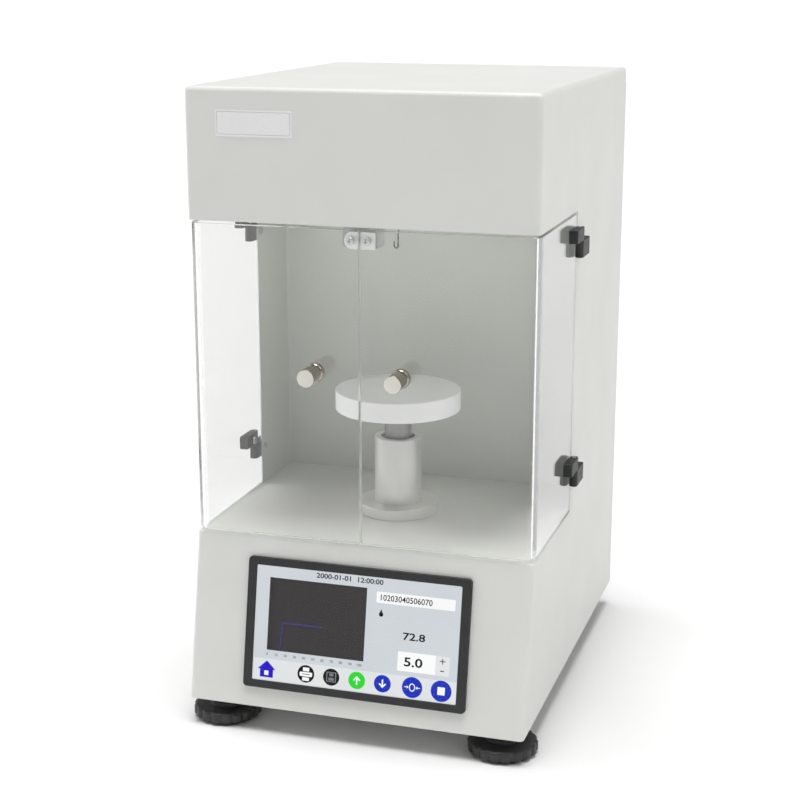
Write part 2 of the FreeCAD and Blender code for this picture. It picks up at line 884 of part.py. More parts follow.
# ---- Weighing unit ----
def load_cell():
    front_y = stage_y - cell_nose
    start_x = -cell_width / 2
    rear = front_y + cell_length
    beam = block(start_x, -start_x, front_y, rear, cell_low_z, cell_low_z + cell_thickness)
    middle_y = front_y + cell_length / 2
    middle_z = cell_low_z + cell_thickness / 2
    holes = [
        rod(cell_hole_radius, cell_width, V(start_x, middle_y + side * cell_hole_spread, middle_z), X_AXIS)
        for side in (-1, 1)
    ]
    slot = block(
        start_x,
        -start_x,
        middle_y - cell_hole_spread,
        middle_y + cell_hole_spread,
        middle_z - cell_slot / 2,
        middle_z + cell_slot / 2,
    )
    return beam.cut(holes + [slot])


def load_cell_bracket():
    rear = stage_y - cell_nose + cell_length
    return block(
        -cell_block_width / 2,
        cell_block_width / 2,
        rear - cell_block_length,
        rear,
        ceiling_z + sheet,
        cell_low_z,
    )


def hanger_rod():
    """Rod under the beam's free end; the hook's eye hangs on the pin across its slot."""
    body = rod(hanger_radius, hanger_length, V(0, stage_y, hanger_low_z))
    slot = block(
        -hanger_radius,
        hanger_radius,
        stage_y - hanger_slot / 2,
        stage_y + hanger_slot / 2,
        hanger_low_z,
        hanger_pin_z + hook_eye_radius + 3 * hook_wire_radius,
    )
    pin = rod(hanger_pin_radius, 2 * hanger_radius, V(0, stage_y - hanger_radius, hanger_pin_z), Y_AXIS)
    return body.cut(slot).fuse(pin)


def weighing_hook():
    """One wire: an eye on the hanger's pin, a straight stem and a small hook at its end."""
    eye_z = hanger_pin_z + hanger_pin_radius + running_gap + hook_wire_radius - hook_eye_radius
    eye = Part.makeTorus(hook_eye_radius, hook_wire_radius, V(0, stage_y, eye_z), Y_AXIS)
    bend_z = hook_low_z + hook_wire_radius + hook_bend_radius
    stem = rod(hook_wire_radius, eye_z - hook_eye_radius - bend_z, V(0, stage_y, bend_z))
    bend_centre = V(-hook_bend_radius, stage_y, bend_z)
    bend = Part.makeTorus(hook_bend_radius, hook_wire_radius, bend_centre, Y_AXIS)
    reach = 2 * hook_bend_radius + 2 * hook_wire_radius
    lower_half = block(
        -reach, hook_wire_radius, stage_y - reach, stage_y + reach, bend_z - reach, bend_z
    )
    tip_base = V(-2 * hook_bend_radius, stage_y, bend_z)
    tip = rod(hook_wire_radius, hook_tip_length, tip_base)
    tip_end = Part.makeSphere(hook_wire_radius, tip_base + V(0, 0, hook_tip_length))
    return eye.fuse([stem, bend.common(lower_half), tip, tip_end])


# ---- Electrics ----
def power_supply():
    start_y = face_y + boards_setback
    low_z = base_z + sheet
    case = block(
        supply_x - supply_width / 2,
        supply_x + supply_width / 2,
        start_y,
        start_y + supply_length,
        low_z,
        low_z + supply_height,
    )
    return case.makeChamfer(sheet, edges_along(case, Y_AXIS, lambda p: p.z > low_z + 1))


def main_board_corners():
    start_y = face_y + boards_setback
    reach_x = main_board_width / 2 - standoff_inset
    return [
        (main_board_x + side * reach_x, y)
        for side in (-1, 1)
        for y in (start_y + standoff_inset, start_y + main_board_length - standoff_inset)
    ]


def main_board():
    start_y = face_y + boards_setback
    low_z = base_z + sheet + standoff_height
    top = low_z + board_thickness
    left = main_board_x - main_board_width / 2
    board = block(left, left + main_board_width, start_y, start_y + main_board_length, low_z, top)
    third = main_board_width / 3
    terminals = block(
        left + standoff_inset * 2,
        left + 2 * third,
        start_y + standoff_inset / 2,
        start_y + standoff_inset * 2,
        top,
        top + main_parts_height,
    )
    processor = block(left + third, left + 2 * third, start_y + third, start_y + 2 * third, top, top + sheet)
    return board.fuse([terminals, processor])


def board_standoffs():
    return Part.makeCompound(
        [rod(standoff_radius, standoff_height, V(x, y, base_z + sheet)) for x, y in main_board_corners()]
    )


def power_inlet():
    body = port_block(inlet_x, inlet_body_width, inlet_body_height, -inlet_depth, inlet_flange)
    flange = port_block(inlet_x, inlet_flange_width, inlet_flange_height, 0, inlet_flange)
    flange = eased(flange, corner_radius, Y_AXIS)
    recess_low = inlet_flange - inlet_recess_depth
    recess = port_block(inlet_x, inlet_recess_width, inlet_recess_height, recess_low, inlet_flange)
    recess = recess.makeChamfer(
        corner_radius, edges_along(recess, Y_AXIS, lambda p: p.z > port_z)
    )
    holes = [screw_hole(place, Y_AXIS) for place in inlet_screw_places]
    shell = body.fuse(flange).cut([recess] + holes)
    pins = []
    for side, rise in ((-1, -1), (0, 1), (1, -1)):
        x = inlet_x + side * inlet_pin_spread
        z = port_z + rise * inlet_pin_width
        pins.append(
            block(
                x - inlet_pin_width / 2,
                x + inlet_pin_width / 2,
                rear_y + recess_low,
                rear_y + recess_low + inlet_pin_length,
                z - inlet_pin_height / 2,
                z + inlet_pin_height / 2,
            )
        )
    return shell.fuse(pins)


def switch_frame():
    flange = port_block(switch_x, switch_width, switch_height, 0, switch_flange)
    flange = eased(flange, hinge_edge, Y_AXIS)
    body = port_block(switch_x, switch_width - switch_lip, switch_height - switch_lip, -switch_depth, 0)
    pocket = port_block(
        switch_x,
        rocker_width + 2 * loose_gap,
        2 * (rocker_reach + rocker_dish),
        switch_flange - rocker_pocket_depth,
        switch_flange,
    )
    pivot_half = rocker_width / 2 + rocker_pivot_radius / 2 + running_gap
    pivot_y = rear_y - rocker_pivot_depth
    pivot = rod(
        rocker_pivot_radius + running_gap, 2 * pivot_half, V(switch_x - pivot_half, pivot_y, port_z), X_AXIS
    )
    return flange.fuse(body).cut([pocket, pivot])


def power_rocker():
    """Rocker with a dished face, pressed at its lower end; it turns on two short pivots."""
    outline = [
        (rocker_front, 0),
        (rocker_front + rocker_dish, rocker_reach),
        (0, rocker_reach),
        (-rocker_back, rocker_reach / 2),
        (-rocker_back, -rocker_reach / 2),
        (0, -rocker_reach),
        (rocker_front + rocker_dish, -rocker_reach),
    ]
    half = rocker_width / 2
    body = profile_along_x(outline, -half, half)
    pivot_half = half + rocker_pivot_radius / 2
    body = body.fuse(rod(rocker_pivot_radius, 2 * pivot_half, V(-pivot_half, 0, 0), X_AXIS))
    body.Placement = FreeCAD.Placement(
        V(switch_x, rear_y - rocker_pivot_depth, port_z), FreeCAD.Rotation(X_AXIS, -rocker_tilt)
    )
    return body


def serial_port():
    flange = port_block(serial_x, serial_flange_width, serial_flange_height, 0, serial_flange)
    flange = eased(flange, trim_radius, Y_AXIS)
    shell = port_block(
        serial_x, serial_shell_width, serial_shell_height, -serial_depth, serial_flange + serial_shell_length
    )
    shell = eased(shell, serial_shell_height / 4, Y_AXIS)
    spread = (serial_shell_width + serial_flange_width) / 4
    posts = [
        rod(
            serial_shell_height / 4,
            serial_shell_length,
            V(serial_x + side * spread, rear_y + serial_flange, port_z),
            Y_AXIS,
        )
        for side in (-1, 1)
    ]
    return flange.fuse([shell] + posts)


# ---- Feet ----
def foot_place(side):
    return V(side * foot_x, face_y + foot_setback, 0)


def foot_pad(side):
    place = foot_place(side)
    pad = rod(foot_pad_radius, foot_pad_thickness, place)
    pad = pad.makeChamfer(foot_pad_thickness / 4, [e for e in pad.Edges if near(e.BoundBox.ZMax, 0)])
    spigot = rod(foot_spigot_radius, foot_spigot_height, place + V(0, 0, foot_pad_thickness))
    return pad.fuse(spigot)


def foot_wheel(side):
    """Scalloped wheel with a hub: a thumb turns it to level the instrument."""
    place = foot_place(side)
    low = foot_pad_thickness + loose_gap
    edge = foot_pad_thickness / 3
    body = turned(
        [
            (0, low),
            (foot_wheel_radius - edge, low),
            (foot_wheel_radius, low + edge),
            (foot_wheel_radius, foot_wheel_top - edge),
            (foot_wheel_radius - edge, foot_wheel_top),
            (foot_hub_radius + edge, foot_wheel_top),
            (foot_hub_radius, foot_wheel_top + edge),
            (foot_hub_radius, foot_hub_top - edge),
            (foot_hub_radius - edge, foot_hub_top),
            (0, foot_hub_top),
        ],
        place,
        Z_AXIS,
    )
    cuts = [
        rod(foot_spigot_radius + running_gap, foot_pad_thickness + foot_spigot_height + loose_gap, place),
        rod(foot_stud_radius + fit_gap, foot_hub_top - foot_seat_z, place + V(0, 0, foot_seat_z)),
    ]
    for number in range(foot_scallops):
        angle = 2 * math.pi * number / foot_scallops
        reach = foot_wheel_radius + foot_scallop_radius * 0.35
        centre = place + V(reach * math.cos(angle), reach * math.sin(angle), low)
        cuts.append(rod(foot_scallop_radius, foot_wheel_top - low, centre))
    return body.cut(cuts)


def foot_stud(side):
    top = base_z + sheet + weld_nut_height + foot_stud_spare
    return rod(foot_stud_radius, top - foot_seat_z, foot_place(side) + V(0, 0, foot_seat_z))


def weld_nuts():
    nuts = []
    corner = weld_nut_flats / math.sqrt(3)
    for side in (-1, 1):
        place = foot_place(side) + V(0, 0, base_z + sheet)
        corners = [
            place + V(corner * math.cos(math.radians(60 * n)), corner * math.sin(math.radians(60 * n)), 0)
            for n in range(6)
        ]
        nut = Part.Face(Part.makePolygon(corners + corners[:1])).extrude(V(0, 0, weld_nut_height))
        nuts.append(nut.cut(rod(foot_stud_radius + running_gap, weld_nut_height, place)))
    return Part.makeCompound(nuts)


def rear_feet():
    feet = []
    for side in (-1, 1):
        place = V(side * rear_foot_x, rear_y - rear_foot_inset, 0)
        foot = turned(
            [
                (0, 0),
                (rear_foot_radius - rear_foot_taper - 1, 0),
                (rear_foot_radius - rear_foot_taper, 1),
                (rear_foot_radius, foot_height),
                (0, foot_height),
            ],
            place,
            Z_AXIS,
        )
        well = rod(screw_head_radius + 4 * loose_gap, rear_foot_well, place)
        shank = rod(screw_shank_radius + running_gap, foot_height, place)
        feet.append(foot.cut([well, shank]))
    return Part.makeCompound(feet)


# ---- Places that several pieces share ----
bezel_skirt_width = screen_width + 2 * (glass_border + loose_gap + bezel_wall)
bezel_skirt_height = screen_height + 2 * (glass_border + loose_gap + bezel_wall) - bezel_wall
glass_width = screen_width + 2 * glass_border
glass_height = bezel_skirt_height - 2 * (loose_gap + bezel_wall / 2)
glass_back = bezel_proud - bezel_lip - glass_thickness
lcd_back = glass_back - optical_gap - lcd_thickness
knob_z = floor_z + knob_height
hinge_screw_y = pin_y - hinge_door_block_length / 2
body_screw_y = (opening_y + pin_y + hinge_body_block_length) / 2 - 1
foot_seat_z = foot_pad_thickness + foot_spigot_height + 2 * loose_gap
rear_foot_x = half_width - rear_foot_inset
rear_foot_well = foot_height - screw_grip / 2
flange_seat_z = floor_z - sheet
flange_reach = (column_radius + column_flange_radius) / 2
flange_screw_places = [
    (flange_reach * math.cos(math.radians(angle)), stage_y + flange_reach * math.sin(math.radians(angle)))
    for angle in (90, 270)
]
motor_reach = motor_width / 2 - motor_chamfer - screw_shank_radius
motor_screw_places = [
    (side_x * motor_reach, stage_y + side_y * motor_reach) for side_x in (-1, 1) for side_y in (-1, 1)
]
inlet_screw_places = [
    V(inlet_x + side * inlet_screw_spread, rear_y + inlet_flange, port_z) for side in (-1, 1)
]


def machine_screws():
    """All screws of the casing, the rear ports, the motor, the flange, the hinges and the rear feet."""
    screws = [pan_screw(place, Y_AXIS) for place in inlet_screw_places]
    screws += [pan_screw(place, Y_AXIS, 3 * sheet) for place in rear_screw_places()]
    screws += [pan_screw(place, Z_AXIS.negative(), 3 * sheet) for place in base_screw_places()]
    screws += [pan_screw(place, X_AXIS.negative()) for place in hinge_screw_places(1)]
    screws += [pan_screw(place, X_AXIS) for place in hinge_screw_places(-1)]
    screws += [pan_screw(V(x, y, flange_seat_z), Z_AXIS.negative()) for x, y in flange_screw_places]
    screws += [pan_screw(V(x, y, motor_top_z + bracket_sheet), Z_AXIS) for x, y in motor_screw_places]
    for side in (-1, 1):
        seat = V(side * rear_foot_x, rear_y - rear_foot_inset, rear_foot_well)
        screws.append(pan_screw(seat, Z_AXIS.negative()))
    return Part.makeCompound(screws)


def rear_screw_places():
    x = inner_half - flange_width / 2
    heights = (base_z + 2 * fold, (base_z + cover_z) / 2, cover_z - fold)
    return [V(side * x, rear_y, z) for side in (-1, 1) for z in heights]


def base_screw_places():
    x = inner_half - flange_width / 2
    middle_y = (opening_y + rear_y) / 2
    return [V(side * x, y, base_z) for side in (-1, 1) for y in (opening_y + fold, middle_y)]


def hinge_screw_places(side):
    x = side * (inner_half - liner_sheet)
    mid = loose_gap + hinge_body_block_height / 2
    return [V(x, body_screw_y, joint_z - mid) for joint_z in hinge_joints]


def with_screw_holes(shape, places, axis, depth=screw_grip):
    return shape.cut([screw_hole(place, axis, depth) for place in places])


# ---- Write every piece ----
os.makedirs("parts", exist_ok=True)

down = Z_AXIS.negative()
foot_screw_places = [
    V(side * rear_foot_x, rear_y - rear_foot_inset, rear_foot_well) for side in (-1, 1)
]
plate = with_screw_holes(base_plate(), base_screw_places(), down)
save("base_plate", with_screw_holes(plate, foot_screw_places, down))
save("base_front_panel", base_front_panel())
save("head_front_panel", head_front_panel())
save("top_cover", top_cover())

right_side = side_panel()
right_side = with_screw_holes(right_side, hinge_screw_places(1), X_AXIS.negative())
right_side = with_screw_holes(right_side, [p for p in rear_screw_places() if p.x > 0], Y_AXIS)
right_side = with_screw_holes(right_side, [p for p in base_screw_places() if p.x > 0], down)
save("right_side_panel", right_side)
save("left_side_panel", mirrored(right_side))

rear = with_screw_holes(rear_panel(), rear_screw_places(), Y_AXIS)
save("rear_panel", with_screw_holes(rear, inlet_screw_places, Y_AXIS))
floor_screws = [V(x, y, flange_seat_z) for x, y in flange_screw_places]
save("chamber_floor", with_screw_holes(chamber_floor(), floor_screws, down))
liner = with_screw_holes(chamber_liner(), hinge_screw_places(1), X_AXIS.negative())
save("chamber_liner", with_screw_holes(liner, hinge_screw_places(-1), X_AXIS))
save("chamber_ceiling", chamber_ceiling())
save("label_plate", label_plate())
save("machine_screws", machine_screws())

save("right_door", door())
save("left_door", mirrored(door()))
save("right_door_hinge_blocks", hinge_door_blocks())
save("left_door_hinge_blocks", mirrored(hinge_door_blocks()))
save("body_hinge_blocks", hinge_body_blocks(), mirrored(hinge_body_blocks()))
save("hinge_pins", hinge_pins(), mirrored(hinge_pins()))
save("right_door_screws", door_screws())
save("left_door_screws", mirrored(door_screws()))
save("right_door_knob", knob())
save("left_door_knob", mirrored(knob()))
save("right_strike_plate", strike_plate(False))
save("left_strike_plate", mirrored(strike_plate(True)))
save("magnet_catch", magnet_catch())
save("catch_magnets", catch_magnets())

save("display_bezel", display_bezel())
save("touch_glass", screen_layer(glass_back, glass_thickness))
save("lcd_panel", screen_layer(lcd_back, lcd_thickness))
save("display_board", display_board())
save("display_clamps", display_clamps())

save("stage_disc", stage_disc())
save("stage_shaft", stage_shaft())
save("lift_nut", lift_nut())
save("shaft_key", shaft_key())
save("stage_column", stage_column())
save("guide_bush", guide_bush())
save("column_flange", column_flange())
save("lead_screw", lead_screw())
save("stepper_motor", stepper_motor())
save("motor_bracket", motor_bracket())

save("load_cell", load_cell())
save("load_cell_bracket", load_cell_bracket())
save("hanger_rod", hanger_rod())
save("weighing_hook", weighing_hook())

save("power_supply", power_supply())
save("main_board", main_board())
save("board_standoffs", board_standoffs())
save("power_inlet", power_inlet())
save("switch_frame", switch_frame())
save("power_rocker", power_rocker())
save("serial_port", serial_port())

for side, word in ((-1, "left"), (1, "right")):
    save("front_" + word + "_foot_pad", foot_pad(side))
    save("front_" + word + "_foot_wheel", foot_wheel(side))
    save("front_" + word + "_foot_stud", foot_stud(side))
save("weld_nuts", weld_nuts())
save("rear_feet", rear_feet())
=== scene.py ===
import math

import bmesh
import bpy
from mathutils import Matrix, Vector


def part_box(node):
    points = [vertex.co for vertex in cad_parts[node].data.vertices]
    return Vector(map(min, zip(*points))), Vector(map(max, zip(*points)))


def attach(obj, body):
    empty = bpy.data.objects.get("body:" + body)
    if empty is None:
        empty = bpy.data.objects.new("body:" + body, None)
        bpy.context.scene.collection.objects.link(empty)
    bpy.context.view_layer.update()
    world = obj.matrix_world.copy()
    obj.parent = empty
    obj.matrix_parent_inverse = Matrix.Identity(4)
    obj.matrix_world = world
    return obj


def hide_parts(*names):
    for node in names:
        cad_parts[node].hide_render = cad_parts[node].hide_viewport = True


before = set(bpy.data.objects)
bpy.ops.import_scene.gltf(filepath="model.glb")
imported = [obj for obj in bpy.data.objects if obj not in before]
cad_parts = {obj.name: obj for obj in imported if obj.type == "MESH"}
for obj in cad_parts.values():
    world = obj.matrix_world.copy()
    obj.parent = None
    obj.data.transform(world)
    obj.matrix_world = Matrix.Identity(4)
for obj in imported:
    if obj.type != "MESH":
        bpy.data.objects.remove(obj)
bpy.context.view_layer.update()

# The looks of the surface tensiometer. Lengths are in metres, or in millimetres times MM.
MM = 0.001
X_AXIS = Vector((1, 0, 0))
Y_AXIS = Vector((0, 1, 0))
Z_AXIS = Vector((0, 0, 1))

# ---- Camera and light ----
CAMERA_PLACE = Vector((0.3595, -1.2091, 0.5379))
CAMERA_AIM = Vector((-0.28735, 0.92474, -0.24958))
CAMERA_LENS = 75.6  # millimetres
CAMERA_SENSOR = 36.0  # millimetres
WORLD_ZENITH = 0.15
WORLD_HORIZON = 1.0
WORLD_FADE = 0.3  # sine of the elevation where the horizon's glow ends
# name, degrees to the right of the front, elevation, strength, angular size
SUNS = (
    ("top_light", 0.0, 88.0, 2.8, 30.0),
    ("right_light", 85.0, 45.0, 0.55, 30.0),
    ("left_light", -90.0, 30.0, 0.9, 50.0),
)
FLOOR_REACH = 30.0
FLOOR_SHADE = 0.82
CAUGHT_DEPTH = 3.5  # surfaces a ray may meet before a clear sheet lets it straight out
CAUGHT_TINT = (0.42, 0.425, 0.42)  # what is left of it then
WAVE_SCALE = 0.314  # scale of a wave texture whose bands are one unit apart

# ---- How finely meshes are made ----
SAME_POINT = 1e-7  # metres; closer points are made one
FRAME_SAME_POINT = 1e-6  # the same, where a node of the frame is taken apart
SHARP_ANGLE = 32.0  # degrees; edges flatter than this are shaded smooth
ROUND = 96  # segments of a full circle
BEND_STEPS = 20
LOBE_STEPS = 14

# ---- Sizes that the frame does not give ----
PANEL_TOP_RECESS = 1.5 * MM
DOOR_SHEET = 4.0 * MM
DOOR_BEND = 9.0 * MM
DOOR_EDGE = 0.35 * MM
SCREW_RADIUS = 1.5 * MM
SCREW_HEAD_RADIUS = 2.8 * MM
SCREW_HEAD_HEIGHT = 1.8 * MM
SCREW_CROSS = 0.75 * MM
HOLE_GAP = 0.05 * MM
SCREW_HOLE = SCREW_RADIUS + HOLE_GAP
FIT_GAP = 0.02 * MM  # between a bar and what is pushed onto it
CONTACT_GAP = 0.03 * MM  # between a clear sheet and what lies against it
HINGE_EDGE = 0.9 * MM
KNUCKLE_RADIUS = 3.1 * MM
HINGE_NECK = 7.0 * MM
KNOB_RADIUS = 6.3 * MM
KNOB_NECK_RADIUS = 5.1 * MM
WINDOW_WIDTH = 152.5 * MM
WINDOW_HEIGHT = 83.5 * MM
WINDOW_CORNER = 1.0 * MM
BEZEL_CORNER = 3.0 * MM
BEZEL_EDGE = 0.9 * MM
BEZEL_WALL = 2.0 * MM
BEZEL_LIP = 1.0 * MM
GLASS_GAP = 0.2 * MM
LIT_FACE = 0.5 * MM  # display face, above the sloped panel
INK = 0.02 * MM  # thickness of one printed or lit layer
DISPLAY_SHIFT = 1.4 * MM  # shown picture, to the right of the window's middle
COLUMN_BORE = 12.5 * MM
STAGE_DROP = 18.0 * MM
STAGE_RISE = 26.0 * MM
THREAD_PITCH = 1.25 * MM
THREAD_DEPTH = 0.7 * MM
WHEEL_LOBES = 18
LOBE_DEPTH = 1.3 * MM
WHEEL_RIM = 7.3 * MM
WHEEL_HUB = 12.0 * MM
WHEEL_SPIGOT = 5.05 * MM


# ---- Materials ----
def srgb(red, green, blue):
    """Linear colour of an sRGB one given in 0..255."""
    return tuple(
        c / 3294.6 if c < 10.3 else ((c / 255.0 + 0.055) / 1.055) ** 2.4 for c in (red, green, blue)
    )


class Finish:
    """A Principled material in the part's own coordinates, with procedural variation."""

    def __init__(self, name, colour, roughness, metallic=0.0):
        self.material = bpy.data.materials.new(name)
        self.material.use_nodes = True
        self.tree = self.material.node_tree
        self.shader = self.tree.nodes["Principled BSDF"]
        self.surface = self.shader.outputs["BSDF"]
        self.colour = colour
        self.normal = None
        self.coordinates = self.node("ShaderNodeTexCoord").outputs["Object"]
        self.set("Base Color", (*colour, 1.0))
        self.set("Roughness", roughness)
        self.set("Metallic", metallic)

    def fill(self, socket, value):
        """Sets a socket, or links another node's output to it."""
        if isinstance(value, bpy.types.NodeSocket):
            self.tree.links.new(value, socket)
        else:
            socket.default_value = value

    def node(self, kind, sockets=None, **settings):
        made = self.tree.nodes.new(kind)
        for key, value in settings.items():
            setattr(made, key, value)
        for key, value in (sockets or {}).items():
            self.fill(made.inputs[key], value)
        return made

    def set(self, name, value):
        self.fill(self.shader.inputs[name], value)
        return self

    def mapped(self, stretch=(1, 1, 1), centre=(0, 0, 0)):
        sockets = {"Vector": self.coordinates, "Scale": stretch, "Location": -Vector(centre)}
        return self.node("ShaderNodeMapping", sockets).outputs["Vector"]

    def noise(self, size, detail=2.0, stretch=(1, 1, 1)):
        """A noise whose blotches are about as wide as size."""
        sockets = {"Vector": self.mapped(stretch), "Scale": 1.0 / size, "Detail": detail}
        return self.node("ShaderNodeTexNoise", sockets).outputs["Fac"]

    def grains(self, size):
        sockets = {"Vector": self.mapped(), "Scale": 1.0 / size}
        return self.node("ShaderNodeTexVoronoi", sockets).outputs["Distance"]

    def rings(self, size, centre, axis):
        """Turning marks: rings about an axis through the centre, size apart."""
        sockets = {"Vector": self.mapped(centre=centre), "Scale": WAVE_SCALE / size}
        sockets.update({"Distortion": 1.2, "Detail": 2.0, "Detail Scale": 3.0})
        made = self.node("ShaderNodeTexWave", sockets, wave_type="RINGS", rings_direction=axis)
        return made.outputs["Fac"]

    def stripes(self, size, direction):
        sockets = {"Vector": self.mapped(), "Scale": WAVE_SCALE / size}
        made = self.node("ShaderNodeTexWave", sockets, wave_type="BANDS", bands_direction=direction)
        return made.outputs["Fac"]

    def spread(self, factor, low, high, start=0.3, end=0.7):
        """Maps a factor from start..end to low..high."""
        sockets = {"Value": factor, "From Min": start, "From Max": end, "To Min": low, "To Max": high}
        return self.node("ShaderNodeMapRange", sockets).outputs["Result"]

    def calculate(self, operation, first, second):
        sockets = {0: first, 1: second}
        return self.node("ShaderNodeMath", sockets, operation=operation).outputs["Value"]

    def rough(self, factor, low, high):
        return self.set("Roughness", self.spread(factor, low, high))

    def shade(self, factor, low, high, start=0.3, end=0.7):
        """Multiplies the colour by low..high as the factor goes from start to end."""
        dark = (*[c * low for c in self.colour], 1.0)
        light = (*[min(1.0, c * high) for c in self.colour], 1.0)
        sockets = {0: self.spread(factor, 0.0, 1.0, start, end), 6: dark, 7: light}
        return self.set("Base Color", self.node("ShaderNodeMix", sockets, data_type="RGBA").outputs[2])

    def relief(self, factor, depth):
        """Adds a bump whose full height is depth."""
        sockets = {"Height": factor, "Distance": depth}
        if self.normal is not None:
            sockets["Normal"] = self.normal
        self.normal = self.node("ShaderNodeBump", sockets).outputs["Normal"]
        return self.set("Normal", self.normal)

    def let_through(self, share, tint):
        """Lets a share of the light pass straight through what is there so far."""
        clear = self.node("ShaderNodeBsdfTransparent", {"Color": (*tint, 1.0)})
        sockets = {0: share, 1: self.surface, 2: clear.outputs["BSDF"]}
        self.surface = self.node("ShaderNodeMixShader", sockets).outputs["Shader"]
        self.fill(self.tree.nodes["Material Output"].inputs["Surface"], self.surface)
        return self


def powder_coat(name, colour, roughness=0.42):
    """Satin powder coat: a shallow orange peel with a finer texture in it."""
    made = Finish(name, colour, roughness)
    made.shade(made.noise(60 * MM, 3.0), 0.975, 1.02)
    made.rough(made.noise(1.6 * MM, 3.0), roughness - 0.05, roughness + 0.06)
    made.relief(made.noise(1.4 * MM, 2.0), 0.018 * MM)
    made.relief(made.noise(0.45 * MM, 1.0), 0.006 * MM)
    return made.set("Specular IOR Level", 0.45).material


def moulded_plastic(name, colour, roughness=0.5, grain=0.5 * MM):
    made = Finish(name, colour, roughness)
    made.shade(made.noise(14 * MM, 4.0), 0.85, 1.2)
    made.rough(made.noise(3 * MM, 4.0), roughness - 0.08, roughness + 0.1)
    return made.relief(made.grains(grain), 0.02 * MM).material


def turned_metal(name, colour, roughness, centre, axis="Z"):
    """Machined metal with turning marks about an axis."""
    made = Finish(name, colour, roughness, 1.0)
    made.shade(made.noise(25 * MM, 4.0), 0.94, 1.05)
    made.rough(made.noise(2.5 * MM, 5.0), roughness - 0.05, roughness + 0.07)
    return made.relief(made.rings(0.35 * MM, centre, axis), 0.003 * MM).material


def turned_bar(name, colour, roughness, metallic):
    """Satin turned metal: fine grooves one above the other on its upright faces."""
    made = Finish(name, colour, roughness, metallic)
    made.shade(made.noise(25 * MM, 2.0), 0.97, 1.03)
    made.rough(made.noise(6 * MM, 2.0), roughness - 0.02, roughness + 0.03)
    return made.relief(made.stripes(0.4 * MM, "Z"), 0.002 * MM).material


def plain_metal(name, colour, roughness, stretch=(1, 1, 1)):
    """Plated or rolled metal with faint scratches along its grain."""
    made = Finish(name, colour, roughness, 1.0)
    made.shade(made.noise(9 * MM, 5.0), 0.9, 1.06)
    made.rough(made.noise(0.9 * MM, 6.0, stretch), roughness - 0.08, roughness + 0.1)
    return made.relief(made.noise(0.5 * MM, 4.0, stretch), 0.004 * MM).material


def rubber(name):
    made = Finish(name, srgb(42, 42, 43), 0.75)
    made.shade(made.noise(6 * MM, 5.0), 0.8, 1.3)
    made.relief(made.grains(0.35 * MM), 0.02 * MM)
    return made.relief(made.noise(2.5 * MM, 4.0), 0.03 * MM).material


def circuit_board(name):
    """Green solder mask with copper tracks under it."""
    made = Finish(name, srgb(24, 92, 48), 0.35)
    made.shade(made.stripes(1.6 * MM, "X"), 0.7, 1.35, 0.55, 0.75)
    made.rough(made.noise(4 * MM, 3.0), 0.28, 0.42)
    return made.relief(made.stripes(1.6 * MM, "X"), 0.02 * MM).material


def clear_sheet(name, tint, haze, ior):
    """Clear plastic or glass with a faint haze. Light on its way to other surfaces passes
    straight through, and so does light caught between the two faces of a sheet, with a loss."""
    made = Finish(name, tint, 0.0).set("IOR", ior)
    weight = made.spread(made.noise(8 * MM, 6.0), 1.0 - haze * 0.4, 1.0 - haze)
    made.set("Transmission Weight", weight)
    path = made.node("ShaderNodeLightPath").outputs
    caught = made.calculate("GREATER_THAN", path["Ray Depth"], CAUGHT_DEPTH)
    onward = made.calculate("MAXIMUM", path["Is Shadow Ray"], path["Is Diffuse Ray"])
    return made.let_through(caught, CAUGHT_TINT).let_through(onward, tint).material


def polished_edge(name, colour):
    """Flame-polished edge of a clear sheet: it lets most light through and scatters the rest."""
    made = Finish(name, colour, 0.3)
    made.shade(made.noise(12 * MM, 2.0), 0.98, 1.02)
    return made.let_through(made.spread(made.noise(9 * MM, 2.0), 0.59, 0.63), colour).material


def lit(name, colour):
    """Part of the lit display: it glows through a fine grid of pixels."""
    made = Finish(name, tuple(c * 0.02 for c in colour), 0.4)
    pixels = made.spread(made.stripes(0.19 * MM, "X"), 0.97, 1.02)
    clouds = made.spread(made.noise(40 * MM, 2.0), 0.98, 1.02)
    sockets = {0: colour, "Scale": made.calculate("MULTIPLY", pixels, clouds)}
    glow = made.node("ShaderNodeVectorMath", sockets, operation="SCALE")
    made.set("Emission Color", glow.outputs["Vector"]).set("Emission Strength", 1.0)
    return made.set("Specular IOR Level", 0.04).material


# ---- Mesh helpers ----
def placed(name, data):
    """A new object with this data, in the scene."""
    made = bpy.data.objects.new(name, data)
    bpy.context.scene.collection.objects.link(made)
    return made


def evaluated(made):
    """New mesh data of an object as it looks with its modifiers."""
    graph = bpy.context.evaluated_depsgraph_get()
    return bpy.data.meshes.new_from_object(made.evaluated_get(graph))


def data_of(mesh, name="scratch"):
    """Turns a bmesh into mesh data and frees it."""
    data = bpy.data.meshes.new(name)
    mesh.to_mesh(data)
    mesh.free()
    return data


def merged(mesh, other):
    """Adds a bmesh, or mesh data, to a bmesh and removes it."""
    data = other if isinstance(other, bpy.types.Mesh) else data_of(other)
    mesh.from_mesh(data)
    bpy.data.meshes.remove(data)
    return mesh


def clean(mesh):
    """Makes points in one place one point and turns all faces outward."""
    bmesh.ops.remove_doubles(mesh, verts=mesh.verts, dist=SAME_POINT)
    bmesh.ops.recalc_face_normals(mesh, faces=mesh.faces)


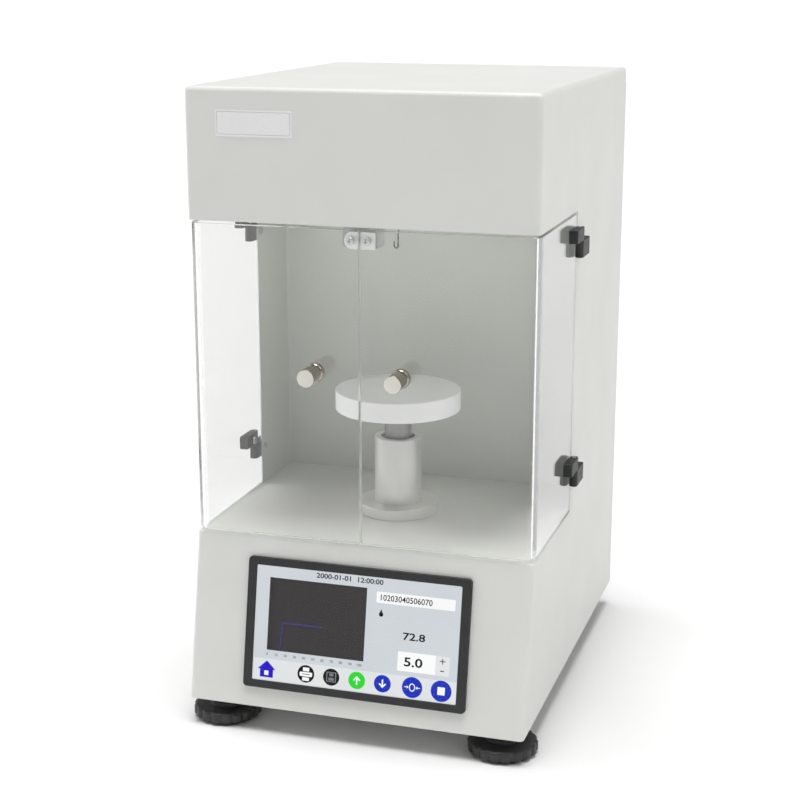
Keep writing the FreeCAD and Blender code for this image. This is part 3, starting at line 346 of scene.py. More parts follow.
def piece(name, mesh, material, body, *nodes, slot):
    """Turns a bmesh into a piece that rides on a body and stands for the nodes it replaces.
    Normals are weighted by face area, so flat faces stay flat beside rounded edges."""
    clean(mesh)
    limit = math.radians(SHARP_ANGLE)
    for face in mesh.faces:
        face.smooth = True
    for edge in mesh.edges:
        edge.smooth = len(edge.link_faces) == 2 and edge.calc_face_angle(0.0) < limit
    data = data_of(mesh, name)
    for one in material if isinstance(material, list) else [material]:
        data.materials.append(one)
    made = placed(name, data)
    made.modifiers.new("weighted_normals", "WEIGHTED_NORMAL").keep_sharp = True
    made.data = evaluated(made)
    made.modifiers.clear()
    bpy.data.meshes.remove(data)
    made.data.name = name
    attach(made, body)
    if nodes:
        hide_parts(*nodes)


def loft(rings, closed=False, place=None, index=0, mesh=None):
    """Joins rings of points, which all run round the same way, in a new bmesh or a given one.
    A ring of one point is a tip. The ends are capped, or joined to each other when closed."""
    mesh = bmesh.new() if mesh is None else mesh
    place = place or Matrix.Identity(4)
    made = [[mesh.verts.new(place @ Vector(point)) for point in ring] for ring in rings]
    faces = []
    pairs = list(zip(made, made[1:]))
    if closed:
        pairs.append((made[-1], made[0]))
    else:
        faces += [mesh.faces.new(end) for end in (made[0], made[-1]) if len(end) > 2]
    for low, high in pairs:
        count = max(len(low), len(high))
        for step in range(count):
            after = (step + 1) % count
            if len(low) == 1:
                corners = (low[0], high[after], high[step])
            elif len(high) == 1:
                corners = (low[step], low[after], high[0])
            else:
                corners = (low[step], low[after], high[after], high[step])
            faces.append(mesh.faces.new(corners))
    for face in faces:
        face.material_index = index
    return mesh


def turn_to(axis):
    """Rotation that takes +Z to an axis."""
    return Z_AXIS.rotation_difference(Vector(axis)).to_matrix().to_4x4()


def circle(radius, steps=ROUND, centre=(0, 0)):
    angles = [2 * math.pi * step / steps for step in range(steps)]
    return [(centre[0] + radius * math.cos(a), centre[1] + radius * math.sin(a)) for a in angles]


def at_height(outline, height):
    return [(x, y, height) for x, y in outline]


def lathe(profile, base, axis=Z_AXIS, steps=ROUND, closed=False, mesh=None):
    """Revolves (radius, height) points about an axis that starts at base."""
    rings = [
        [(0, 0, height)] if radius < SAME_POINT else at_height(circle(radius, steps), height)
        for radius, height in profile
    ]
    return loft(rings, closed, Matrix.Translation(base) @ turn_to(axis), mesh=mesh)


def prism(outline, low, high, place=None, index=0, mesh=None):
    return loft([at_height(outline, low), at_height(outline, high)], False, place, index, mesh)


def border(outer, inner, low, high, place=None, index=0, mesh=None):
    """A flat frame between two outlines that have the same number of points."""
    rings = [at_height(outer, low), at_height(outer, high)]
    rings += [at_height(inner, high), at_height(inner, low)]
    return loft(rings, True, place, index, mesh)


def arc(across, up, radius, start, end, steps=5):
    """Points of a rounded corner; angles in degrees."""
    angles = [math.radians(start + (end - start) * step / steps) for step in range(steps + 1)]
    return [(across + radius * math.cos(a), up + radius * math.sin(a)) for a in angles]


def rims(radius, low, high, edge_low, edge_high, steps_low=5, steps_high=5):
    """Lathe profile of a bar's side between two rounded rims."""
    points = arc(radius - edge_low, low + edge_low, edge_low, -90, 0, steps_low)
    return points + arc(radius - edge_high, high - edge_high, edge_high, 0, 90, steps_high)


def round_tube(outer, inner, low, high, edge):
    """Lathe profile of a tube with rounded rims, to be revolved closed."""
    points = rims(outer, low, high, edge, edge)
    points += arc(inner + edge, high - edge, edge, 90, 180)
    return points + arc(inner + edge, low + edge, edge, 180, 270)


def rounded_rectangle(width, height, radius, steps=6, centre=(0, 0)):
    points = []
    for side_x, side_y, start in ((1, 1, 0), (-1, 1, 90), (-1, -1, 180), (1, -1, 270)):
        across = centre[0] + side_x * (width / 2 - radius)
        up = centre[1] + side_y * (height / 2 - radius)
        points += arc(across, up, radius, start, start + 90, steps)
    return points


def rectangle(u0, v0, u1, v1, radius=0.0):
    """Outline in metres of a rectangle whose corners are given in millimetres."""
    if radius:
        centre = ((u0 + u1) / 2 * MM, (v0 + v1) / 2 * MM)
        return rounded_rectangle((u1 - u0) * MM, (v1 - v0) * MM, radius * MM, 4, centre)
    return shape_at(((u0, v0), (u1, v0), (u1, v1), (u0, v1)))


def shape_at(points, u=0, v=0):
    """Outline in metres of points given in millimetres from (u, v)."""
    return [((u + x) * MM, (v + y) * MM) for x, y in points]


def soften(mesh, radius, steps=2, angle=40, wanted=None):
    """Bevels the edges that are sharper than an angle and whose middle passes the test."""
    clean(mesh)
    limit = math.radians(angle)
    edges = []
    for edge in mesh.edges:
        spot = (edge.verts[0].co + edge.verts[1].co) / 2
        sharp = len(edge.link_faces) == 2 and edge.calc_face_angle(0.0) > limit
        if sharp and (not wanted or wanted(spot)):
            edges.append(edge)
    shape = {"offset": radius, "segments": steps, "profile": 0.5, "clamp_overlap": True}
    bmesh.ops.bevel(mesh, geom=edges, affect="EDGES", **shape)
    return mesh


def rod(radius, low, high, base, axis=Z_AXIS, steps=32):
    """A plain round bar along an axis that starts at base."""
    return lathe([(0, low), (radius, low), (radius, high), (0, high)], base, axis, steps)


def cut(target, cutter, operation="DIFFERENCE"):
    """Cuts a bmesh out of another, or joins it to the other, and returns the result."""
    objects = []
    for mesh in (target, cutter):
        bmesh.ops.recalc_face_normals(mesh, faces=mesh.faces)
        objects.append(placed("scratch", data_of(mesh)))
    modifier = objects[0].modifiers.new("cut", "BOOLEAN")
    modifier.operation = operation
    modifier.solver = "EXACT"
    modifier.object = objects[1]
    result = merged(bmesh.new(), evaluated(objects[0]))
    for made in objects:
        data = made.data
        bpy.data.objects.remove(made)
        bpy.data.meshes.remove(data)
    return result


def mirrored(mesh):
    bmesh.ops.scale(mesh, vec=(-1, 1, 1), verts=mesh.verts)
    return mesh


def dress(material, *names):
    """Gives carried-over nodes a material."""
    for name in names:
        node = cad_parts[name]
        if not node.material_slots:
            node.data.materials.append(material)
        for held in node.material_slots:
            held.material = material


def middle(node):
    low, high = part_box(node)
    return (low + high) / 2


def solids_of(node):
    """Points of each separate solid of a node."""
    mesh = bmesh.new()
    mesh.from_mesh(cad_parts[node].data)
    bmesh.ops.remove_doubles(mesh, verts=mesh.verts, dist=FRAME_SAME_POINT)
    mesh.verts.index_update()
    seen = set()
    found = []
    for start in mesh.verts:
        if start.index in seen:
            continue
        seen.add(start.index)
        waiting = [start]
        points = []
        while waiting:
            vert = waiting.pop()
            points.append(vert.co.copy())
            for edge in vert.link_edges:
                other = edge.other_vert(vert)
                if other.index not in seen:
                    seen.add(other.index)
                    waiting.append(other)
        found.append(points)
    mesh.free()
    return found


def corners_of(points):
    low = Vector([min(p[n] for p in points) for n in range(3)])
    high = Vector([max(p[n] for p in points) for n in range(3)])
    return low, high


def centre_of(points):
    low, high = corners_of(points)
    return (low + high) / 2


# ---- Places taken from the frame ----
base_low, base_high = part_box("base_front_panel")
face_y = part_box("head_front_panel")[0].y
rear_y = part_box("rear_panel")[1].y
panel_high_y = face_y + PANEL_TOP_RECESS
slope = math.atan2(panel_high_y - base_low.y, base_high.z - base_low.z)
panel_middle = Vector((0, (panel_high_y + base_low.y) / 2, (base_low.z + base_high.z) / 2))
# Takes (across, up the slope, out of the panel) to its place on the sloped panel.
on_panel = Matrix.Translation(panel_middle) @ Matrix.Rotation(math.pi / 2 - slope, 4, "X")
on_display = on_panel @ Matrix.Translation((DISPLAY_SHIFT, 0, 0))
# Turns (across, up, out) so that it faces the front of the instrument, or its back.
facing_front = Matrix.Rotation(math.pi / 2, 4, "X")
facing_back = Matrix.Rotation(math.pi, 4, "Z") @ facing_front


# ---- Screws ----
def screw_facts(points):
    """Seat, direction from shank to head, and grip of the screw that these points belong to."""
    low, high = corners_of(points)
    size = high - low
    number = max(range(3), key=lambda n: size[n])
    centre = (low + high) / 2
    axis = Vector([1.0 if n == number else 0.0 for n in range(3)])

    def widest(end):
        near_end = [p for p in points if abs(p[number] - end) < SCREW_HEAD_HEIGHT]
        return max(((p - centre) - axis * (p - centre).dot(axis)).length for p in near_end)

    direction = axis if widest(high[number]) > widest(low[number]) else -axis
    half = size[number] / 2
    seat = centre + direction * (half - SCREW_HEAD_HEIGHT)
    return seat, direction, 2 * half - SCREW_HEAD_HEIGHT


def screw_mesh(seat, direction, grip):
    """A pan-head screw with a cross recess that gets narrower downward."""
    head = SCREW_HEAD_HEIGHT
    tip_edge, head_edge, crown = 0.3 * MM, 0.12 * MM, 1.1 * MM
    profile = [(0, -grip), (SCREW_RADIUS - tip_edge, -grip)]
    profile += [(SCREW_RADIUS, tip_edge - grip), (SCREW_RADIUS, CONTACT_GAP)]
    profile += arc(SCREW_HEAD_RADIUS - head_edge, CONTACT_GAP + head_edge, head_edge, -90, 0, 3)
    profile += arc(SCREW_HEAD_RADIUS - crown, head - crown, crown, 5, 80, 7)
    profile += [(0, head)]
    arm, half = SCREW_HEAD_RADIUS * 0.62, SCREW_CROSS / 2
    quarter = [Vector(point) for point in ((arm, -half), (arm, half), (half, half))]
    turns = [Matrix.Rotation(math.pi / 2 * turn, 2) for turn in range(4)]
    cross = [turn @ point for turn in turns for point in quarter]
    bottom = [(x * 0.5, y * 0.5, head * 0.4) for x, y in cross]
    recess = loft([bottom, at_height(cross, head * 1.2)])
    made = cut(lathe(profile, (0, 0, 0), steps=40), recess)
    place = Matrix.Translation(seat) @ turn_to(direction)
    bmesh.ops.transform(made, matrix=place, verts=made.verts)
    return made


def screws(node, material, body):
    mesh = bmesh.new()
    for points in solids_of(node):
        merged(mesh, screw_mesh(*screw_facts(points)))
    piece(node + "_turned", mesh, material, body, node, slot="steel")


def drilled(mesh, node):
    """Cuts the holes of those of a node's screws that reach this mesh."""
    low, high = corners_of([vert.co for vert in mesh.verts])
    past_tip = 0.2 * MM
    for points in solids_of(node):
        seat, direction, grip = screw_facts(points)
        tip = seat - direction * grip
        if all(min(seat[n], tip[n]) < high[n] and max(seat[n], tip[n]) > low[n] for n in range(3)):
            mesh = cut(mesh, rod(SCREW_HOLE, -grip - past_tip, HOLE_GAP, seat, direction))
    return mesh


# ---- Doors ----
def door(side, body, sheet_material, edge_material):
    """One clear sheet bent round a front corner, with polished edges."""
    low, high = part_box(body)
    near_x, far_x = (low.x, high.x) if side > 0 else (-high.x, -low.x)
    bend = (far_x - DOOR_BEND, low.y + DOOR_BEND)
    outer = [(near_x, low.y)] + arc(*bend, DOOR_BEND, -90, 0, BEND_STEPS) + [(far_x, high.y)]
    inner = [(near_x, low.y + DOOR_SHEET)]
    inner += arc(*bend, DOOR_BEND - DOOR_SHEET, -90, 0, BEND_STEPS)
    inner += [(far_x - DOOR_SHEET, high.y)]
    sections = [
        [(*a, low.z), (*a, high.z), (*b, high.z), (*b, low.z)] for a, b in zip(outer, inner)
    ]
    mesh = soften(loft(sections), DOOR_EDGE)
    mesh = drilled(mirrored(mesh) if side < 0 else mesh, body + "_screws")
    rim = 0.5 * DOOR_EDGE
    for face in mesh.faces:
        spot = face.calc_center_median()
        at_end = spot.z < low.z + rim or spot.z > high.z - rim
        at_seam = abs(spot.x) < near_x + rim
        at_rear = spot.y > high.y - rim
        face.material_index = int(at_end or at_seam or at_rear)
    piece(body + "_sheet", mesh, [sheet_material, edge_material], body, body, slot="acrylic")


def hinge_outline(low, high, pin, forward):
    """Outline of a right-hand hinge block seen from above: a bar on its seat, then a knuckle."""
    flip = 1 if forward else -1
    far = low.y if forward else high.y
    neck_x = pin[0] - KNUCKLE_RADIUS
    neck_y = pin[1] - flip * (KNUCKLE_RADIUS if forward else HINGE_NECK)
    corner = 1.6 * HINGE_EDGE
    points = [(low.x, far)]
    points += arc(high.x - corner, far + flip * corner, corner, -90 * flip, 0)
    points += arc(*pin, KNUCKLE_RADIUS, 0, 180 * flip, 16)
    return points + [(neck_x, neck_y), (low.x, neck_y)]


def hinge_blocks(node, body, screw_node, material):
    """Door blocks reach forward of their pin, body blocks back from it."""
    pins = [centre_of(points) for points in solids_of("hinge_pins")]
    whole = bmesh.new()
    for points in solids_of(node):
        low, high = corners_of(points)
        centre = (low + high) / 2
        pin = min(pins, key=lambda place: (place - centre).length)
        mirror = centre.x < 0
        if mirror:
            low.x, high.x = -high.x, -low.x
        low.x += CONTACT_GAP
        axis = (abs(pin.x), pin.y)
        past_neck = axis[0] - KNUCKLE_RADIUS + 0.005 * MM
        mesh = prism(hinge_outline(low, high, axis, centre.y < pin.y), low.z, high.z)
        soften(mesh, HINGE_EDGE, 3, 60, lambda spot: spot.x > past_neck)
        # The pin's hole is as wide as a screw's.
        mesh = cut(mesh, rod(SCREW_HOLE, low.z - MM, high.z + MM, (*axis, 0)))
        if mirror:
            mirrored(mesh)
        merged(whole, drilled(mesh, screw_node))
    piece(node + "_moulded", whole, material, body, node, slot="black_plastic")


def knob(body):
    """A turned knob: a plain front cylinder, a neck and a rounded collar against the door."""
    node = body + "_knob"
    low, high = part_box(node)
    centre = (low + high) / 2
    length = high.y - low.y
    neck = KNOB_NECK_RADIUS
    foot_end, collar_end, neck_end, roll = 1.2 * MM, 7.2 * MM, 8.6 * MM, 1.6 * MM
    profile = [(0, CONTACT_GAP), (neck, CONTACT_GAP), (neck, foot_end)]
    profile += rims((high.x - low.x) / 2, foot_end, collar_end, roll, roll, 8, 8)
    profile += [(neck, collar_end + 0.15 * MM), (neck, neck_end - 0.1 * MM)]
    profile += rims(KNOB_RADIUS, neck_end, length, 0.5 * MM, 0.6 * MM, 5, 6)
    profile += [(0, length)]
    mesh = lathe(profile, (centre.x, high.y, centre.z), -Y_AXIS)
    front_depth = 0.1 * MM
    for face in mesh.faces:
        if face.calc_center_median().y < low.y + front_depth:
            face.material_index = 1
    side = turned_metal(node + "_side", (0.42, 0.38, 0.33), 0.2, centre, "Y")
    front = turned_metal(node + "_front", (0.68, 0.655, 0.60), 0.4, centre, "Y")
    mesh = drilled(mesh, body + "_screws")
    piece(node + "_turned", mesh, [side, front], body, node, slot="nickel")


def strike(body, rounded, material):
    """Thin plate behind the door that the magnet holds; one of the pair has a rounded outer end."""
    node = body.replace("door", "strike_plate")
    low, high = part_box(node)
    width, height = high.x - low.x, high.z - low.z
    outline = rounded_rectangle(width, height, 0.8 * MM)
    if rounded:
        radius = height / 2 - 0.2 * MM
        outline = [(width / 2, -height / 2), (width / 2, height / 2)]
        outline += arc(radius - width / 2, height / 2 - radius, radius, 90, 180, 14)
        outline += arc(radius - width / 2, radius - height / 2, radius, 180, 270, 14)
    half = (high.y - low.y) / 2 - CONTACT_GAP
    mesh = prism(outline, -half, half, Matrix.Translation((low + high) / 2) @ facing_front)
    mesh = drilled(soften(mesh, 0.2 * MM, 2, 50), body + "_screws")
    piece(node + "_pressed", mesh, material, body, node, slot="steel")


# ---- Display ----
def panel_box(node):
    """Corners of a node in the sloped panel's own frame."""
    back = on_panel.inverted()
    return corners_of([back @ vert.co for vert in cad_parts[node].data.vertices])


def display_bezel(material):
    """Moulded frame with a rounded rim, a window and a skirt that goes through the panel."""
    low, high = panel_box("display_bezel")
    glass_low, glass_high = panel_box("touch_glass")
    width, height, proud = high.x - low.x, high.y - low.y, high.z
    inner_width = glass_high.x - glass_low.x + 2 * GLASS_GAP
    inner_height = glass_high.y - glass_low.y + 2 * GLASS_GAP
    pocket = (inner_width, inner_height, BEZEL_WALL / 2)
    skirt = (inner_width + 2 * BEZEL_WALL, inner_height + BEZEL_WALL, BEZEL_WALL)
    lip_edge = 0.35 * MM
    rings = []

    def ring(wide, tall, radius, level):
        rings.append(at_height(rounded_rectangle(wide, tall, radius), level))

    ring(width, height, BEZEL_CORNER, 0)
    for out, up in arc(0, proud - BEZEL_EDGE, BEZEL_EDGE, 0, 90, 6):
        inset = BEZEL_EDGE - out
        ring(width - 2 * inset, height - 2 * inset, BEZEL_CORNER - inset * 0.8, up)
    for out, up in arc(0, proud - lip_edge, lip_edge, 90, 180, 4):
        grow = lip_edge + out
        ring(WINDOW_WIDTH + 2 * grow, WINDOW_HEIGHT + 2 * grow, WINDOW_CORNER + grow, up)
    ring(WINDOW_WIDTH, WINDOW_HEIGHT, WINDOW_CORNER, proud - BEZEL_LIP)
    for outline, level in ((pocket, proud - BEZEL_LIP), (pocket, low.z), (skirt, low.z), (skirt, 0)):
        ring(*outline, level)
    mesh = loft(rings, True, on_panel)
    piece("display_bezel_moulded", mesh, material, "casing", "display_bezel", slot="bezel_plastic")


COLOURS = (
    ("graph_field", srgb(60, 57, 58)),
    ("ink", srgb(22, 22, 24)),
    ("white_field", srgb(250, 250, 250)),
    ("band", srgb(226, 228, 229)),
    ("blue", srgb(30, 52, 190)),
    ("green", srgb(46, 218, 52)),
    ("trace", srgb(62, 62, 150)),
    ("grid", srgb(72, 69, 70)),
    ("violet_blue", srgb(40, 18, 205)),
    ("grey_ink", srgb(120, 124, 130)),
)
COLOUR_ORDER = [name for name, _ in COLOURS]
# Outlines and places on the display, in millimetres.
ARROW = (
    (-0.55, -3.0), (0.55, -3.0), (0.55, 1.0), (2.0, -0.4), (2.75, 0.35),
    (0, 3.1), (-2.75, 0.35), (-2.0, -0.4), (-0.55, 1.0),
)
HOUSE = (
    (-5.0, -6.0), (5.0, -6.0), (5.0, -0.2), (6.8, -0.2),
    (0, 6.2), (-6.8, -0.2), (-5.0, -0.2),
)
POINTER = (
    (-1.9, -0.25), (0.1, -0.25), (0.1, -1.1), (1.4, 0),
    (0.1, 1.1), (0.1, 0.25), (-1.9, 0.25),
)
TRACE = (
    (-58.7, -19.5), (-58.1, -19.5), (-56.2, 0.8),
    (-27.1, 0.8), (-27.1, 1.4), (-56.8, 1.4),
)
GRAPH = (-68, -19.6, 5.3, 33.2)  # left, low, right, high
GRID_LINE = 0.16
ICONS_V = -33.7


def digits_mesh(text, weight):
    """Plain digits as a flat solid of unit size."""
    curve = bpy.data.curves.new("digits", "FONT")
    curve.body = text
    curve.extrude = 0.5
    curve.resolution_u = 3
    curve.offset = weight
    made = placed("digits", curve)
    mesh = merged(bmesh.new(), evaluated(made))
    bpy.data.objects.remove(made)
    bpy.data.curves.remove(curve)
    return mesh


class Screen:
    """What the display shows, each field and symbol as a thin solid on its own level.
    Places are in millimetres from the middle of the shown picture."""

    def __init__(self):
        self.mesh = bmesh.new()

    def layer(self, outline, level, name="ink"):
        low = LIT_FACE + level * INK
        prism(outline, low, low + INK, on_display, COLOUR_ORDER.index(name), self.mesh)

    def bar(self, u0, v0, u1, v1, level, name="ink", radius=0.0):
        self.layer(rectangle(u0, v0, u1, v1, radius), level, name)

    def disc(self, u, v, diameter, level, name="ink"):
        self.layer(circle(diameter / 2 * MM, 48, (u * MM, v * MM)), level, name)

    def digits(self, text, u, v, height, level, name="ink", width=None, weight=0.02):
        """Digits whose middle is at (u, v)."""
        part = digits_mesh(text, weight)
        low, high = corners_of([vert.co for vert in part.verts])
        size = high - low
        tall = height * MM / size.y
        wide = width * MM / size.x if width else tall
        fit = Matrix.Diagonal((wide, tall, INK / size.z, 1))
        fit = fit @ Matrix.Translation(-(low + high) / 2)
        lift = Matrix.Translation((u * MM, v * MM, LIT_FACE + level * INK + INK / 2))
        bmesh.ops.transform(part, matrix=on_display @ lift @ fit, verts=part.verts)
        for face in part.faces:
            face.material_index = COLOUR_ORDER.index(name)
        merged(self.mesh, part)


def draw_graph(screen):
    """A plot with its grid, ticks, trace and scale."""
    left, low, right, high = GRAPH
    half = GRID_LINE / 2
    screen.bar(*GRAPH, 0, "graph_field")
    for step in range(1, 10):
        u = left + (right - left) * step / 10
        screen.bar(u - half, low, u + half, high, 1, "grid")
    for step in range(1, 8):
        v = low + (high - low) * step / 8
        screen.bar(left, v - half, right, v + half, 2, "grid")
    for step in range(14):
        v = -17.5 + 50.2 * step / 13
        screen.bar(-66.9, v - 0.35, -64.6, v + 0.35, 3)
    screen.layer(shape_at(TRACE), 3, "trace")
    for step in range(11):
        screen.digits(str(step * 10), -67.6 + 7.0 * step, -22.6, 2.0, 0, "grey_ink")


def draw_values(screen):
    """The date, two fields, a drop, a value and a setting with its plus and minus."""
    screen.digits("2000-01-01  12:00:00", -8.0, 38.2, 3.7, 0, width=50)
    screen.bar(12.5, 23.5, 70.2, 31.5, 0, "white_field", 0.8)
    screen.digits("10203040506070", 34.6, 27.5, 4.4, 1, width=38, weight=0.012)
    screen.layer(shape_at(((-1.5, 0), (1.5, 0), (0, 3.6)), 16.5, 15.6), 0)
    screen.disc(16.5, 15.4, 3.2, 1)
    screen.digits("72.8", 41.6, 1.9, 5.4, 0, width=16.3)
    screen.bar(30.5, -22.9, 58.6, -9.1, 0, "white_field", 0.6)
    screen.digits("5.0", 42.0, -16.0, 6.6, 1, width=13.6)
    screen.bar(58.2, -22.9, 68.4, -9.1, 1, "band", 0.6)
    screen.bar(61.3, -13.0, 65.3, -12.4, 2)
    screen.bar(63.0, -14.7, 63.6, -10.7, 3)
    screen.bar(61.9, -19.9, 64.7, -19.2, 2)


def draw_icons(screen):
    """The row of symbols below: a house, a printer, a disk, two arrows, a ring between two
    pointers, and a square."""
    v = ICONS_V
    screen.bar(-77.4, -41.5, 74.6, -26.2, 0, "band")
    screen.layer(shape_at(HOUSE, -67.3, v), 1, "violet_blue")
    screen.bar(-69.0, v - 4.4, -65.8, v - 1.2, 2, "white_field")
    screen.disc(-37.2, v, 12.7, 1)
    screen.bar(-39.6, v + 1.9, -34.8, v + 4.6, 2, "white_field", 0.4)
    screen.bar(-42.0, v - 1.9, -32.4, v + 1.3, 2, "white_field", 0.9)
    screen.bar(-39.8, v - 5.0, -34.6, v - 2.5, 2, "white_field", 0.4)
    screen.bar(-40.0, v - 0.5, -34.4, v, 3, "ink", 0.2)
    screen.disc(-18, v, 12.3, 1)
    screen.bar(-21.7, v - 3.7, -14.3, v + 3.7, 2, "grey_ink", 0.8)
    screen.bar(-20.9, v - 3.0, -15.1, v + 3.0, 3, "ink", 0.4)
    screen.bar(-20.0, v - 2.6, -16.0, v - 0.4, 4, "grey_ink", 0.3)
    screen.bar(-19.6, v + 0.6, -16.4, v + 2.7, 4, "grey_ink", 0.3)
    for u, name, turn in ((1.2, "green", 1), (20.3, "blue", -1)):
        screen.disc(u, v, 12.5, 1, name)
        screen.layer(shape_at([(x * turn, y * turn) for x, y in ARROW], u, v), 2, "white_field")
    ring_u = 42.2
    screen.disc(ring_u, v, 14.9, 1, "blue")
    outer, inner = (
        [(x * narrow + ring_u * MM, y + v * MM) for x, y in circle(radius * MM, 40)]
        for radius, narrow in ((2.9, 0.78), (2.2, 0.72))
    )
    low = LIT_FACE + 2 * INK
    white = COLOUR_ORDER.index("white_field")
    border(outer, inner, low, low + INK, on_display, white, screen.mesh)
    screen.layer(shape_at(POINTER, ring_u - 3.9, v), 2, "white_field")
    screen.layer(shape_at([(-x, y) for x, y in POINTER], ring_u + 3.9, v), 2, "white_field")
    screen.disc(63.4, v, 15.1, 1, "blue")
    screen.bar(60.7, v - 2.8, 66.1, v + 2.8, 2, "white_field", 0.4)


def display_symbols():
    screen = Screen()
    draw_graph(screen)
    draw_values(screen)
    draw_icons(screen)
    materials = [lit("display_" + name, colour) for name, colour in COLOURS]
    piece("display_symbols", screen.mesh, materials, "casing", slot="screen_face")


# ---- Label ----
def label_plate(plate_material, rule_material):
    """Blank plate with a thin printed rule round it."""
    low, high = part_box("label_plate")
    width, height, depth = high.x - low.x, high.z - low.z, high.y - low.y
    place = Matrix.Translation(((low.x + high.x) / 2, high.y, (low.z + high.z) / 2)) @ facing_front
    edge, inset, line = 0.15 * MM, 2.4 * MM, 0.44 * MM

    def outline(smaller, corner):
        return rounded_rectangle(width - smaller, height - smaller, corner * MM)

    face = depth - INK
    rings = [at_height(outline(0, 0.8), 0), at_height(outline(0, 0.8), face - edge)]
    rings.append(at_height(outline(2 * edge, 0.7), face))
    mesh = loft(rings, False, place)
    border(outline(inset, 0.6), outline(inset + line, 0.4), face, depth, place, 1, mesh)
    materials = [plate_material, rule_material]
    piece("label_plate_blank", mesh, materials, "casing", "label_plate", slot="label_white")


# ---- Sample stage ----
def stage_disc(material):
    """The round table, with a socket for its shaft."""
    low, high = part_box("stage_disc")
    centre = (low + high) / 2
    shaft_low, shaft_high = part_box("stage_shaft")
    socket = (shaft_high.x - shaft_low.x) / 2 + FIT_GAP
    edge = 1.0 * MM
    profile = [(0, shaft_high.z), (socket, shaft_high.z), (socket, low.z)]
    profile += rims((high.x - low.x) / 2, low.z, high.z, edge, edge, 8, 8)
    mesh = lathe(profile + [(0, high.z)], (centre.x, centre.y, 0), steps=160)
    piece("stage_disc_turned", mesh, material, "stage", "stage_disc", slot="white_plastic")


def stage_column(material):
    """The column with the slot that its shaft's key slides in, and the flange round its foot."""
    centre = middle("stage_disc")
    axis_point = (centre.x, centre.y, 0)
    low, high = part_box("stage_column")
    radius = (high.x - low.x) / 2
    tube = round_tube(radius, COLUMN_BORE, low.z, high.z, 0.8 * MM)
    mesh = lathe(tube, axis_point, steps=128, closed=True)
    key_low, key_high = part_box("shaft_key")
    room = 0.25 * MM
    left, right, front, back = key_low.x - room, key_high.x + room, centre.y, key_high.y + room
    outline = [(left, front), (right, front), (right, back), (left, back)]
    slot = prism(outline, key_low.z - STAGE_DROP - room, key_high.z + STAGE_RISE + room)
    mesh = cut(mesh, soften(slot, 1.2 * MM, 3))
    piece("stage_column_turned", mesh, material, "casing", "stage_column", slot="aluminium")

    low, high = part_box("column_flange")
    tube = round_tube((high.x - low.x) / 2, radius + FIT_GAP, low.z, high.z, 0.7 * MM)
    mesh = drilled(lathe(tube, axis_point, steps=128, closed=True), "machine_screws")
    piece("column_flange_turned", mesh, material, "casing", "column_flange", slot="aluminium")


# ---- Feet ----
def lobed(radius, depth):
    """Outline with scallops cut between rounded lobes."""
    steps = WHEEL_LOBES * LOBE_STEPS
    points = []
    for step in range(steps):
        angle = 2 * math.pi * step / steps
        hollow = (0.5 + 0.5 * math.cos(WHEEL_LOBES * angle)) ** 2.2
        reach = radius - depth * hollow
        points.append((reach * math.cos(angle), reach * math.sin(angle)))
    return points


def foot_wheel(prefix, body, base, material):
    """A lobed thumb wheel with a stepped hub."""
    low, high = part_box(prefix + "wheel")
    stud_low, stud_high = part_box(prefix + "stud")
    radius = (high.y - low.y) / 2
    rim_top = low.z + WHEEL_RIM
    seat = rim_top + 0.15 * MM
    under, crown, dimple = 0.8 * MM, 1.9 * MM, 0.4 * MM
    rings = [[(0, 0, stud_low.z)]]

    def lobes(inset, level, depth=LOBE_DEPTH):
        rings.append(at_height(lobed(radius - inset, depth), level))

    def plain(profile):
        for reach, level in profile:
            rings.append(at_height(circle(reach, WHEEL_LOBES * LOBE_STEPS), level))

    plain([(WHEEL_SPIGOT, stud_low.z), (WHEEL_SPIGOT, low.z)])
    for out, up in arc(0, under, under, -90, 0, 4):
        lobes(under - out, low.z + up)
    for out, up in arc(0, -crown, crown, 0, 80, 7):
        lobes((crown - out) * 1.25, rim_top + up, LOBE_DEPTH * (0.35 + 0.65 * out / crown))
    lobes(5.2 * MM, rim_top + 0.02 * MM, 0.0)
    plain([(WHEEL_HUB + 1.6 * MM, seat)])
    plain(arc(WHEEL_HUB + 1.0 * MM, seat + 1.0 * MM, 1.0 * MM, 270, 180, 4))
    plain(arc(WHEEL_HUB - 0.5 * MM, seat + 2.4 * MM, 0.5 * MM, 0, 90, 4))
    plain(arc(WHEEL_HUB - 1.6 * MM, seat + 3.3 * MM, 0.4 * MM, 270, 180, 3))
    plain(arc(WHEEL_HUB - 2.8 * MM, high.z - 0.8 * MM, 0.8 * MM, 0, 90, 5))
    plain([(4.6 * MM, high.z), (4.1 * MM, high.z - dimple)])
    rings.append([(0, 0, high.z - dimple)])
    bore = (stud_high.x - stud_low.x) / 2 + FIT_GAP
    hole = rod(bore, stud_low.z - MM, high.z + MM, base, steps=48)
    mesh = cut(loft(rings, False, Matrix.Translation(base)), hole)
    piece(prefix + "wheel_moulded", mesh, material, body, prefix + "wheel", slot="black_plastic")


def foot_pad(prefix, body, base, material):
    """A flat round pad with a boss in the middle."""
    low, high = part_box(prefix + "pad")
    top, boss, boss_edge = 2.0 * MM, 5.0 * MM, 0.3 * MM
    profile = [(0, 0)] + rims((high.x - low.x) / 2, 0, top, 0.6 * MM, 0.4 * MM)
    profile += [(boss, top), (boss, high.z - boss_edge), (boss - boss_edge, high.z), (0, high.z)]
    mesh = lathe(profile, base)
    piece(prefix + "pad_moulded", mesh, material, body, prefix + "pad", slot="rubber")


